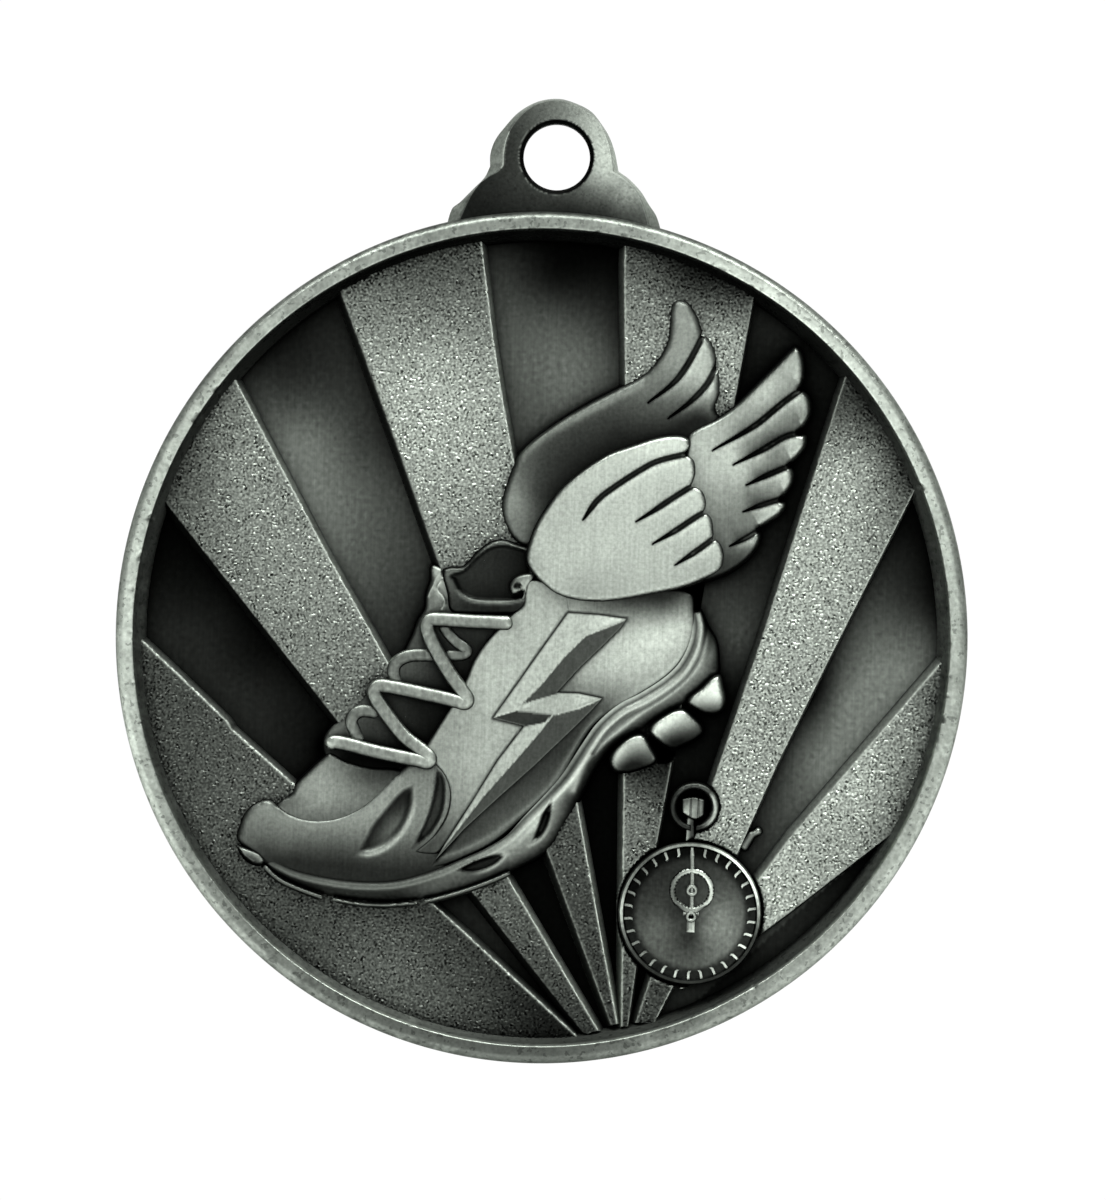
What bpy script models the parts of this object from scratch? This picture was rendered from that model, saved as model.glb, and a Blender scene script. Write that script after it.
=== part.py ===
"""Sports finisher medal.

A cast disc hangs from a ribbon lug. Inside its raised border lies a sunburst of stippled
rays, and in front of the rays a winged running shoe and a stopwatch stand in relief.

Every solid is laid out in the medal's own plane: x to the right, y up, z towards the
viewer, centred on the disc. The empty "medal_centre" stands that plane upright, so the
front faces -Y, and puts the centre of the ribbon eye at the world's origin.
"""

import math

import bmesh
import bpy
from mathutils import Matrix

MM = 0.001

# Driving dimensions, millimetres
DISC_RADIUS = 25.0
HALF_THICKNESS = 1.8          # border to border, half of the medal's full thickness
EYE_HEIGHT = 28.2             # centre of the ribbon eye above the centre of the disc
EYE_RADIUS = 1.95
LUG_HALF_THICKNESS = 1.1
GAP = 0.3                     # clearance between neighbouring solids

BORDER_FACE_RADIUS = 23.95    # inner edge of the border's flat face
BORDER_FOOT_RADIUS = 23.2     # the drafted inner wall's foot
BORDER_ROUND = 0.35           # rounding of the outer edges
WEB_BACK = -1.4
WEB_FRONT = 0.2
RAY_BACK = WEB_FRONT + GAP
RAY_FRONT = 0.9
FIGURE_BACK = RAY_FRONT + GAP

# Top of each relief solid above the disc's middle plane
FAR_WING_TOP = 1.5
FEATHERS_TOP = 1.65
UPPER_TOP = 1.6               # vamp, toe guard and quarter
HEEL_PANEL_TOP = 1.55
FLASH_TOP = 1.7
TONGUE_TOP = 1.5
MIDSOLE_TOP = 1.75
STUD_TOP = 1.6                # the toe lug and the heel lugs
RECESS_FLOOR = 1.4            # floor of the two recesses in the quarter
CUTTER_TOP = 3.0              # well above the relief

# Radius of each round bead and the height of its axis
COLLAR_BEAD = (0.24, 1.45)
LACE_BEAD = (0.27, 1.5)
BACK_LACE_BEAD = (0.18, 1.4)
RIB_BEAD = (0.2, 1.42)
BOW_BEAD = (0.2, 1.42)

# Stopwatch
WATCH_CENTRE = (9.2, -15.9)
WATCH_RADIUS = 4.2
CASE_LIP = 0.2                # width of the raised lip
CASE_FLOOR = 1.35
LIP_TOP = 1.6
TICKS = 30
TICK_WIDTH = 0.17
TRACK_RADIUS = 3.9
TICK_ROOT = 3.7
TICK_TIP = 3.25
SMALL_DIAL_OFFSET = (0.07, 1.35)      # from the watch's centre
SMALL_DIAL_OUTER = 1.3
SMALL_DIAL_INNER = 0.98
BOW_RADIUS = 1.25
STEM_TOP = -10.35
BOW_HEIGHT = -9.65            # middle of the bow in the medal's plane
CROWN_HEIGHT = -9.62          # middle of the crown in the medal's plane
CROWN_THICKNESS = 0.5
FITTING_THICKNESS = 0.4       # stem and pusher
PUSHER_LEAN = math.radians(52)

ROUND_STEPS = 96              # segments of the large turned solids

CORNER = True                 # marks an outline point where the edge turns sharply

# The six stippled rays, left to right. Their edges run towards one point at the foot.
RAYS = (
    ((-23.45, -0.9), (-14.4, -8.96), (-6.0, -15.7), (2.8, -23.3), (-8.0, -30.0),
     (-30.0, -14.0)),
    ((-22.2, 7.3), (-15.0, -1.3), (-11.8, -5.2), (-3.1, -15.7), (2.7, -22.5),
     (3.7, -22.4), (-1.2, -14.7), (-8.8, -1.9), (-18.3, 14.3), (-22.6, 14.0)),
    ((-12.5, 19.7), (-6.2, 4.1), (0.97, -13.1), (4.45, -21.8), (5.0, -21.8),
     (3.85, -16.3), (2.5, -10.2), (-1.85, 10.5), (-4.5, 22.9), (-10.0, 24.0)),
    ((4.2, 23.5), (4.2, 21.0), (4.45, 15.0), (5.1, -9.1), (5.38, -21.8), (5.86, -21.8),
     (6.15, -19.1), (7.1, -12.0), (10.88, 14.2), (11.65, 19.7), (10.0, 23.5)),
    ((17.3, 15.8), (12.8, 0.0), (10.25, -8.4), (6.96, -19.9), (6.4, -21.8), (7.6, -21.8),
     (8.35, -20.2), (12.0, -12.0), (14.04, -7.0), (21.4, 9.1), (20.5, 14.0)),
    ((23.5, -0.5), (15.0, -11.2), (13.1, -13.9), (8.9, -19.5), (9.2, -20.2),
     (13.6, -16.8), (15.0, -15.7), (21.1, -10.7), (25.0, -8.0)),
)

LUG_SIDE = (
    (0.0, 31.65), (1.9, 31.08), (3.05, 29.8), (3.55, 28.2), (3.65, 27.4, CORNER),
    (4.45, 26.85), (5.25, 26.0), (5.9, 24.4, CORNER), (5.9, 23.0, CORNER),
)

FAR_WING = (
    (-2.15, 6.2, CORNER), (-2.73, 8.0), (-2.45, 9.0), (-1.67, 10.85), (0.0, 12.4),
    (2.06, 13.8), (4.04, 14.9), (5.3, 15.6), (6.15, 16.5), (6.7, 17.6), (7.0, 19.0),
    (7.3, 19.9), (7.9, 19.8), (8.76, 18.7), (9.47, 17.76), (9.96, 16.2), (10.1, 14.8),
    (9.7, 13.75, CORNER), (8.1, 12.75, CORNER), (6.3, 12.4), (4.8, 11.95), (3.1, 11.2),
    (0.7, 9.35), (-0.35, 8.3), (-0.9, 7.1), (-1.3, 6.1, CORNER),
)
NEAR_WING_FEATHERS = (
    (8.8, 12.5, CORNER), (9.9, 13.3), (12.2, 15.4), (13.35, 16.5), (14.2, 17.26),
    (14.8, 16.6), (14.85, 15.1, CORNER), (15.4, 14.3), (15.25, 13.1),
    (14.8, 12.5, CORNER), (15.25, 12.0), (15.0, 11.3), (14.3, 10.56, CORNER),
    (14.55, 9.8), (14.2, 9.0), (13.84, 8.5, CORNER), (14.1, 8.2), (13.4, 7.3),
    (12.6, 6.75, CORNER), (12.6, 5.8), (11.9, 4.85), (11.0, 4.15, CORNER), (11.05, 5.0),
    (10.9, 5.9), (10.45, 6.6), (10.3, 7.4), (9.95, 8.3), (9.6, 9.1), (9.25, 9.8),
    (9.15, 10.7), (8.95, 11.6),
)
NEAR_WING_SHOULDER = (
    (-0.6, 3.5), (-1.2, 4.5), (-1.1, 5.3), (-0.47, 7.0), (0.0, 8.1), (0.94, 9.0),
    (3.3, 10.85), (5.0, 11.55), (6.4, 12.04), (7.57, 12.2), (8.27, 12.0), (8.5, 11.55),
    (8.27, 11.1, CORNER), (8.76, 10.56), (8.83, 9.86), (8.7, 9.3, CORNER), (9.3, 8.87),
    (9.54, 8.16), (9.45, 7.8, CORNER), (9.9, 7.3), (10.03, 6.3, CORNER), (10.5, 5.77),
    (10.65, 5.06), (10.4, 4.2), (9.26, 3.5), (6.6, 2.66), (4.5, 2.17), (3.05, 2.03),
    (1.64, 2.17), (0.5, 2.6),
)

VAMP = (
    (-14.9, -9.85, CORNER), (-14.3, -9.15), (-12.7, -7.5, CORNER), (-11.3, -7.5),
    (-8.9, -7.85, CORNER), (-9.45, -8.9), (-10.3, -9.8), (-11.2, -10.35), (-12.1, -10.65),
    (-13.3, -10.75), (-14.3, -10.4),
)
TOE_GUARD = (
    (-15.2, -10.45), (-14.4, -10.85), (-13.3, -11.1), (-12.05, -11.0), (-11.0, -10.7),
    (-10.1, -10.2), (-9.6, -9.7, CORNER), (-10.75, -11.3), (-11.05, -12.6),
    (-11.4, -14.0, CORNER), (-12.6, -14.05), (-14.2, -13.7), (-15.5, -13.15),
    (-17.25, -12.2, CORNER), (-17.4, -11.6), (-17.05, -10.76), (-16.3, -10.1),
    (-15.64, -10.0),
)
QUARTER = (
    (-2.3, 1.4, CORNER), (-1.2, 1.55), (0.2, 1.95), (1.0, 1.6, CORNER), (-0.4, -0.75),
    (-1.65, -2.6), (-3.2, -4.7, CORNER), (-2.6, -5.2), (-1.4, -5.6, CORNER),
    (-2.75, -7.4), (-4.15, -9.9), (-5.6, -12.3), (-6.35, -13.4, CORNER), (-8.0, -14.15),
    (-10.0, -14.35), (-11.05, -14.2, CORNER), (-10.7, -12.7), (-10.35, -11.3),
    (-9.15, -9.5), (-8.5, -8.2, CORNER), (-7.4, -8.35), (-6.3, -8.4), (-5.5, -7.8),
    (-5.45, -6.7), (-4.3, -5.05), (-3.45, -4.3), (-3.35, -3.0), (-2.9, -1.2),
    (-2.4, 0.2),
)
HEEL_PANEL = (
    (5.35, 1.85, CORNER), (5.05, 0.6), (3.85, -0.65), (2.6, -1.95), (1.9, -2.75, CORNER),
    (3.9, -3.15, CORNER), (3.95, -3.6, CORNER), (2.7, -5.15), (1.35, -6.6), (0.1, -7.9),
    (-1.8, -9.7), (-3.7, -11.5), (-4.75, -12.85, CORNER), (-3.1, -12.25), (-1.85, -11.4),
    (-0.85, -10.4), (0.7, -8.85), (1.9, -7.3), (3.35, -4.9), (4.6, -3.7), (5.9, -2.95),
    (7.15, -2.1), (8.0, -1.25), (8.5, -0.2), (8.8, 0.8), (8.7, 1.7), (8.4, 2.6, CORNER),
    (6.8, 2.3),
)
FLASH_PANEL = (
    (1.5, 1.5), (4.95, 1.26), (3.54, -0.4), (0.97, -3.2), (3.6, -3.5), (2.26, -5.0),
    (-0.3, -7.6), (-4.15, -11.3), (-5.8, -13.3), (-3.8, -9.8), (-2.36, -7.3),
    (-0.8, -5.3), (-2.7, -4.8), (-1.3, -2.7),
)
TONGUE = (
    (-6.6, 4.0, CORNER), (-5.95, 3.9, CORNER), (-5.75, 3.2), (-5.7, 2.4),
    (-5.6, 1.6, CORNER), (-6.95, 1.6, CORNER), (-6.9, 2.3), (-6.5, 3.2),
)
MIDSOLE = (
    (-15.2, -13.8, CORNER), (-14.0, -14.25), (-12.0, -14.6), (-10.0, -14.75),
    (-8.0, -14.6), (-5.8, -13.94), (-4.15, -13.2), (-2.9, -12.6), (-1.6, -11.76),
    (-0.56, -10.67), (0.97, -9.1), (2.26, -7.46), (3.67, -5.15), (4.8, -4.1),
    (6.1, -3.36), (7.4, -2.46), (8.3, -1.56), (8.9, -0.4), (9.2, 0.87),
    (9.0, 2.2, CORNER), (9.4, 1.8), (9.9, 0.95), (10.3, 0.2), (10.5, -0.9),
    (10.3, -1.7, CORNER), (8.67, -3.26), (7.4, -4.1), (6.1, -4.9), (4.8, -5.67),
    (4.05, -6.56), (2.9, -8.9), (1.74, -11.05), (1.2, -12.2), (0.3, -13.0),
    (-1.3, -13.75, CORNER), (-3.5, -14.4), (-6.3, -15.2), (-9.0, -15.4),
    (-12.4, -15.1), (-14.5, -14.45),
)
LEAF_RECESS = (
    (-7.2, -8.9), (-7.95, -9.3), (-8.85, -10.2), (-9.6, -11.2), (-10.25, -12.75, CORNER),
    (-9.0, -12.7), (-8.2, -12.1), (-7.6, -11.2), (-7.3, -10.2),
)
CRESCENT_RECESS = (
    (-5.9, -8.7), (-5.2, -9.3), (-5.26, -10.6), (-5.9, -11.7), (-6.8, -12.5),
    (-7.4, -12.9, CORNER), (-6.8, -11.6), (-6.3, -10.3), (-6.05, -9.3),
)
TOE_LUG = (
    (-17.7, -12.6, CORNER), (-16.9, -12.8), (-16.0, -13.1), (-15.7, -13.5),
    (-15.95, -13.93), (-16.7, -13.9), (-17.4, -13.3),
)
HEEL_LUGS = (
    ((10.65, -2.1), (10.97, -3.3), (10.7, -4.1), (9.95, -4.3), (9.25, -4.0), (9.1, -3.7)),
    ((8.2, -4.15), (9.1, -4.6), (9.7, -5.1), (9.5, -5.6), (8.5, -6.2), (7.8, -6.4),
     (7.1, -5.9), (6.75, -5.35), (7.3, -4.7)),
    ((6.25, -5.65), (6.7, -6.3), (7.0, -7.1), (6.1, -7.6), (4.95, -7.9), (4.35, -7.6),
     (4.4, -7.0), (4.9, -6.4), (5.5, -5.8)),
)

# Raised lines: centre-line points on the medal's plane
COLLAR_LINE = (
    (-1.8, 5.3), (-2.5, 5.5), (-3.3, 5.3), (-4.1, 4.7), (-4.8, 3.9), (-5.1, 3.1),
    (-4.9, 2.4), (-4.2, 2.05), (-2.9, 1.98), (-1.9, 2.1), (-1.4, 2.4),
)
LACE_LINE = (
    (-3.1, 0.75), (-5.9, 0.85), (-6.5, 0.45), (-6.2, -0.25), (-4.55, -3.0), (-4.45, -3.65),
    (-5.1, -3.95), (-8.6, -3.1), (-9.3, -3.5), (-9.05, -4.15), (-6.75, -6.7),
    (-6.6, -7.3), (-7.25, -7.5), (-11.8, -6.62),
)
BACK_LACE_LINES = (
    ((-8.3, -2.3), (-8.4, -1.8), (-7.8, -1.25), (-6.8, -1.3)),
    ((-5.4, -0.25), (-4.9, -0.5), (-4.6, -1.0)),
    ((-10.5, -5.75), (-10.8, -4.9), (-10.5, -4.45), (-9.8, -4.7)),
)
OUTSOLE_LINES = (
    ((-15.2, -14.45), (-14.5, -15.0), (-13.5, -15.4), (-12.5, -15.65)),
    ((-11.8, -15.85), (-9.5, -15.98), (-6.95, -15.85)),
    ((-6.1, -15.9), (-4.4, -15.3), (-2.6, -14.75), (-1.4, -14.3)),
)


def clear_scene():
    for obj in list(bpy.data.objects):
        bpy.data.objects.remove(obj, do_unlink=True)


def new_collection(name):
    collection = bpy.data.collections.new(name)
    bpy.context.scene.collection.children.link(collection)
    return collection


def new_material(name, colour, roughness):
    material = bpy.data.materials.new(name)
    material.use_nodes = True
    shader = material.node_tree.nodes["Principled BSDF"]
    shader.inputs["Base Color"].default_value = (*colour, 1.0)
    shader.inputs["Roughness"].default_value = roughness
    shader.inputs["Metallic"].default_value = 1.0
    material.diffuse_color = (*colour, 1.0)
    return material


clear_scene()
PARTS = new_collection("finisher_medal")
CUTTERS = new_collection("cutters")

SATIN = ((0.45, 0.48, 0.44), 0.36)
BRIGHT = ((0.58, 0.62, 0.57), 0.3)
DARK = ((0.16, 0.18, 0.16), 0.5)

CENTRE = bpy.data.objects.new("medal_centre", None)
PARTS.objects.link(CENTRE)
CENTRE.location = (0.0, 0.0, -EYE_HEIGHT * MM)
CENTRE.rotation_euler = (math.radians(90.0), 0.0, 0.0)


def place(obj, finish):
    """Hang a finished part on the medal's centre, with its own material."""
    PARTS.objects.link(obj)
    obj.parent = CENTRE
    obj.data.materials.append(new_material(obj.name, *finish))
    return obj


def place_cutter(obj):
    CUTTERS.objects.link(obj)
    obj.parent = CENTRE
    obj.hide_render = True
    obj.display_type = 'WIRE'
    return obj


def add_outline(curve, points, steps):
    """A closed Bezier outline: smooth points, and sharp ones where marked CORNER."""
    spline = curve.splines.new('BEZIER')
    spline.bezier_points.add(len(points) - 1)
    for bezier, point in zip(spline.bezier_points, points):
        handle = 'VECTOR' if len(point) == 3 else 'AUTO'
        bezier.co = (point[0] * MM, point[1] * MM, 0.0)
        bezier.handle_left_type = handle
        bezier.handle_right_type = handle
    spline.use_cyclic_u = True
    spline.resolution_u = steps


def slab_curve(name, outlines, back, front, chamfer, steps):
    """A flat piece between two heights, with chamfered edges inside its outline."""
    curve = bpy.data.curves.new(name, 'CURVE')
    curve.dimensions = '2D'
    curve.fill_mode = 'BOTH'
    curve.bevel_depth = chamfer * MM
    curve.bevel_resolution = 0
    curve.offset = -chamfer * MM
    curve.extrude = ((front - back) / 2 - chamfer) * MM
    for points in outlines:
        add_outline(curve, points, steps)
    obj = bpy.data.objects.new(name, curve)
    obj.location = (0.0, 0.0, (front + back) / 2 * MM)
    return obj


def curve_to_mesh(obj):
    """Replace a curve object by its mesh, with the caps welded to the sides."""
    scratch = bpy.context.scene.collection
    scratch.objects.link(obj)
    graph = bpy.context.evaluated_depsgraph_get()
    mesh = bpy.data.meshes.new_from_object(obj.evaluated_get(graph))
    work = bmesh.new()
    work.from_mesh(mesh)
    bmesh.ops.remove_doubles(work, verts=work.verts, dist=0.001 * MM)
    bmesh.ops.recalc_face_normals(work, faces=work.faces)
    work.to_mesh(mesh)
    work.free()
    name, matrix = obj.name, obj.matrix_world.copy()
    bpy.data.objects.remove(obj, do_unlink=True)
    solid = bpy.data.objects.new(name, mesh)
    solid.matrix_world = matrix
    return solid


def slab(name, outlines, back, front, finish, chamfer=0.1, steps=2):
    curve = slab_curve(name, outlines, back, front, chamfer, steps)
    return place(curve_to_mesh(curve), finish)


def sharp(points):
    """The same outline with every point a corner."""
    return tuple((x, y, CORNER) for x, y in points)


def circle(centre, radius, count=12):
    """Points round a circle; a smooth outline through them is round."""
    turns = (2 * math.pi * i / count for i in range(count))
    return tuple((centre[0] + radius * math.cos(t), centre[1] + radius * math.sin(t))
                 for t in turns)


def tube(name, points, radius, height, finish):
    """A raised round line through points on the medal's plane."""
    curve = bpy.data.curves.new(name, 'CURVE')
    curve.dimensions = '3D'
    curve.bevel_depth = radius * MM
    curve.bevel_resolution = 2
    curve.use_fill_caps = True
    spline = curve.splines.new('BEZIER')
    spline.bezier_points.add(len(points) - 1)
    for bezier, (x, y) in zip(spline.bezier_points, points):
        bezier.co = (x * MM, y * MM, height * MM)
        bezier.handle_left_type = 'AUTO'
        bezier.handle_right_type = 'AUTO'
    spline.resolution_u = 2
    obj = bpy.data.objects.new(name, curve)
    return place(curve_to_mesh(obj), finish)


def turned(name, profile, centre, finish):
    """A closed (radius, height) profile turned about the medal's axis at centre."""
    mesh = bpy.data.meshes.new(name)
    verts = [(radius * MM, 0.0, height * MM) for radius, height in profile]
    on_axis = profile[0][0] == 0.0
    count = len(verts)
    edges = [(i, (i + 1) % count) for i in range(count - 1 if on_axis else count)]
    mesh.from_pydata(verts, edges, [])
    obj = bpy.data.objects.new(name, mesh)
    obj.location = (centre[0] * MM, centre[1] * MM, 0.0)
    screw = obj.modifiers.new("turn", 'SCREW')
    screw.axis = 'Z'
    screw.steps = ROUND_STEPS
    screw.render_steps = ROUND_STEPS
    screw.use_merge_vertices = True
    screw.merge_threshold = 0.00001
    screw.use_smooth_shade = False
    return place(obj, finish)


def cylinder_cutter(name, radius):
    work = bmesh.new()
    bmesh.ops.create_cone(work, cap_ends=True, segments=ROUND_STEPS, radius1=radius * MM,
                          radius2=radius * MM, depth=20 * MM)
    mesh = bpy.data.meshes.new(name)
    work.to_mesh(mesh)
    work.free()
    return place_cutter(bpy.data.objects.new(name, mesh))


def add_boolean(obj, operation, other):
    modifier = obj.modifiers.new(operation.lower(), 'BOOLEAN')
    modifier.operation = operation
    modifier.solver = 'EXACT'
    modifier.object = other


def make_disc():
    """The web that carries the relief, set inside the border."""
    edge = BORDER_FOOT_RADIUS - GAP
    turned("medal_disc", ((0.0, WEB_FRONT), (edge, WEB_FRONT), (edge, WEB_BACK),
                          (0.0, WEB_BACK)), (0.0, 0.0), SATIN)


def make_border():
    """The raised border: rounded outside, flat faces, drafted inner wall."""
    top = HALF_THICKNESS
    rounding = [(DISC_RADIUS - BORDER_ROUND + BORDER_ROUND * math.sin(a),
                 top - BORDER_ROUND + BORDER_ROUND * math.cos(a))
                for a in (0.0, math.pi / 4, math.pi / 2)]
    mirrored = [(radius, -height) for radius, height in reversed(rounding)]
    profile = ([(BORDER_FOOT_RADIUS, -top), (BORDER_FOOT_RADIUS, WEB_FRONT),
                (BORDER_FACE_RADIUS, top)] + rounding + mirrored)
    turned("border_rim", profile, (0.0, 0.0), BRIGHT)


def make_lug(border_edge):
    """The lug on top of the border, with the eye that the ribbon's ring goes through."""
    mirrored = [(-p[0], *p[1:]) for p in reversed(LUG_SIDE[1:])]
    outline = list(LUG_SIDE) + mirrored
    eye = circle((0.0, EYE_HEIGHT), EYE_RADIUS, 16)
    lug = slab("ribbon_lug", (outline, eye), -LUG_HALF_THICKNESS, LUG_HALF_THICKNESS,
               SATIN, chamfer=0.2, steps=3)
    add_boolean(lug, 'DIFFERENCE', border_edge)


def make_rays(field):
    for number, points in enumerate(RAYS, 1):
        ray = slab(f"sunray_{number}", (sharp(points),), RAY_BACK, RAY_FRONT, SATIN,
                   chamfer=0.12)
        add_boolean(ray, 'INTERSECT', field)


def make_wings():
    slab("far_wing", (FAR_WING,), FIGURE_BACK, FAR_WING_TOP, DARK)
    slab("near_wing_feathers", (NEAR_WING_FEATHERS,), FIGURE_BACK, FEATHERS_TOP, SATIN)
    slab("near_wing_shoulder", (NEAR_WING_SHOULDER,), FIGURE_BACK, HALF_THICKNESS, BRIGHT,
         chamfer=0.2)


def recess_cutter(name, points, floor):
    curve = slab_curve(name, (points,), floor, CUTTER_TOP, 0.0, 2)
    return place_cutter(curve_to_mesh(curve))


def make_shoe_upper():
    slab("shoe_vamp", (VAMP,), FIGURE_BACK, UPPER_TOP, SATIN)
    slab("shoe_toe_guard", (TOE_GUARD,), FIGURE_BACK, UPPER_TOP, SATIN, chamfer=0.0)
    slab("shoe_heel_panel", (HEEL_PANEL,), FIGURE_BACK, HEEL_PANEL_TOP, SATIN)
    slab("shoe_flash_panel", (sharp(FLASH_PANEL),), FIGURE_BACK, FLASH_TOP, BRIGHT,
         chamfer=0.15)
    slab("shoe_tongue", (TONGUE,), FIGURE_BACK, TONGUE_TOP, SATIN)
    quarter = slab("shoe_quarter", (QUARTER,), FIGURE_BACK, UPPER_TOP, SATIN)
    for name, points in (("leaf_cutter", LEAF_RECESS), ("crescent_cutter", CRESCENT_RECESS)):
        add_boolean(quarter, 'DIFFERENCE', recess_cutter(name, points, RECESS_FLOOR))


def make_shoe_lines():
    """The padded collar, the crossed lace and the lace ends behind it."""
    tube("shoe_collar", COLLAR_LINE, *COLLAR_BEAD, SATIN)
    tube("shoe_lace", LACE_LINE, *LACE_BEAD, BRIGHT)
    for number, points in enumerate(BACK_LACE_LINES, 1):
        tube(f"lace_back_{number}", points, *BACK_LACE_BEAD, DARK)


def make_shoe_sole():
    slab("shoe_midsole", (MIDSOLE,), FIGURE_BACK, MIDSOLE_TOP, SATIN, chamfer=0.0)
    slab("toe_lug", (TOE_LUG,), FIGURE_BACK, STUD_TOP, SATIN)
    for number, points in enumerate(HEEL_LUGS, 1):
        slab(f"heel_lug_{number}", (points,), FIGURE_BACK, STUD_TOP, SATIN, chamfer=0.15)
    for number, points in enumerate(OUTSOLE_LINES, 1):
        tube(f"outsole_rib_{number}", points, *RIB_BEAD, SATIN)


def toothed_circle(centre, root, tip, count, width):
    """A circle of radius root with count teeth of one width that reach in to tip."""
    points = []
    for i in range(count):
        middle = 2 * math.pi * i / count
        for radius, side in ((root, -1), (tip, -1), (tip, 1), (root, 1)):
            angle = middle + side * width / 2 / radius
            points.append((centre[0] + radius * math.cos(angle),
                           centre[1] + radius * math.sin(angle), CORNER))
    return points


def make_watch_dial():
    """The case with its lip, the minute track, and the small dial with the hand."""
    inside_lip = WATCH_RADIUS - CASE_LIP
    turned("watch_case", ((0.0, CASE_FLOOR), (inside_lip, CASE_FLOOR), (inside_lip, LIP_TOP),
                          (WATCH_RADIUS, LIP_TOP), (WATCH_RADIUS, FIGURE_BACK),
                          (0.0, FIGURE_BACK)),
           WATCH_CENTRE, SATIN)
    marks_back = CASE_FLOOR + GAP
    marks_front = HALF_THICKNESS
    teeth = toothed_circle(WATCH_CENTRE, TICK_ROOT, TICK_TIP, TICKS, TICK_WIDTH)
    slab("watch_minute_track", (circle(WATCH_CENTRE, TRACK_RADIUS, 24), teeth), marks_back,
         marks_front, BRIGHT, chamfer=0.0, steps=3)
    small_dial = tuple(a + b for a, b in zip(WATCH_CENTRE, SMALL_DIAL_OFFSET))
    ring = slab("watch_dial_marks",
                (circle(small_dial, SMALL_DIAL_OUTER), circle(small_dial, SMALL_DIAL_INNER)),
                marks_back, marks_front, BRIGHT, chamfer=0.0, steps=4)
    x = small_dial[0]
    hand = ((x - 0.13, -12.4), (x + 0.13, -12.4), (x + 0.13, -16.2), (x + 0.3, -16.6),
            (x + 0.22, -17.0), (x - 0.22, -17.0), (x - 0.3, -16.6), (x - 0.13, -16.2))
    bar = slab_curve("hand_cutter", (sharp(hand),), marks_back + 0.01, marks_front - 0.01,
                     0.0, 1)
    add_boolean(ring, 'UNION', place_cutter(curve_to_mesh(bar)))


def box(name, size, centre, turn, finish):
    """A small block: size along x, y and z, turned about z, with bevelled edges."""
    work = bmesh.new()
    bmesh.ops.create_cube(work, size=1.0, matrix=Matrix.Diagonal(
        (size[0] * MM, size[1] * MM, size[2] * MM, 1.0)))
    mesh = bpy.data.meshes.new(name)
    work.to_mesh(mesh)
    work.free()
    obj = bpy.data.objects.new(name, mesh)
    obj.location = tuple(c * MM for c in centre)
    obj.rotation_euler = (0.0, 0.0, turn)
    bevel = obj.modifiers.new("edges", 'BEVEL')
    bevel.width = 0.08 * MM
    bevel.segments = 2
    return place(obj, finish)


def make_watch_crown():
    """Stem, crown and bow on top of the case, and the pusher on its shoulder."""
    x, y = WATCH_CENTRE
    middle = FIGURE_BACK + CROWN_THICKNESS / 2
    fitting_middle = FIGURE_BACK + FITTING_THICKNESS / 2
    stem_foot = y + WATCH_RADIUS + GAP
    box("watch_stem", (0.8, STEM_TOP - stem_foot, FITTING_THICKNESS),
        (x, (STEM_TOP + stem_foot) / 2, fitting_middle), 0.0, SATIN)
    box("watch_crown", (1.2, 0.85, CROWN_THICKNESS), (x, CROWN_HEIGHT, middle), 0.0, BRIGHT)
    arc = [math.radians(-12 + 204 * i / 8) for i in range(9)]
    bow = [(x + BOW_RADIUS * math.cos(a), BOW_HEIGHT + BOW_RADIUS * math.sin(a)) for a in arc]
    tube("watch_bow", bow, *BOW_BEAD, BRIGHT)
    reach = WATCH_RADIUS + GAP + 0.75
    box("watch_pusher", (1.5, 0.5, FITTING_THICKNESS),
        (x + reach * math.cos(PUSHER_LEAN), y + reach * math.sin(PUSHER_LEAN), fitting_middle),
        PUSHER_LEAN, SATIN)


def main():
    make_disc()
    make_border()
    make_lug(cylinder_cutter("border_edge", DISC_RADIUS + GAP))
    make_rays(cylinder_cutter("ray_field", BORDER_FOOT_RADIUS - GAP))
    make_wings()
    make_shoe_upper()
    make_shoe_lines()
    make_shoe_sole()
    make_watch_dial()
    make_watch_crown()


main()
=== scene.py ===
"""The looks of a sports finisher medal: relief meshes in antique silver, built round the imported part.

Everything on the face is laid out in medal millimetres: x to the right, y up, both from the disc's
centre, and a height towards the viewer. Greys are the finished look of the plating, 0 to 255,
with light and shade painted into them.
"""
import math

import bpy
import numpy as np
from mathutils import Matrix, Vector
from mathutils.geometry import delaunay_2d_cdt
from mathutils.kdtree import KDTree

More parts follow.
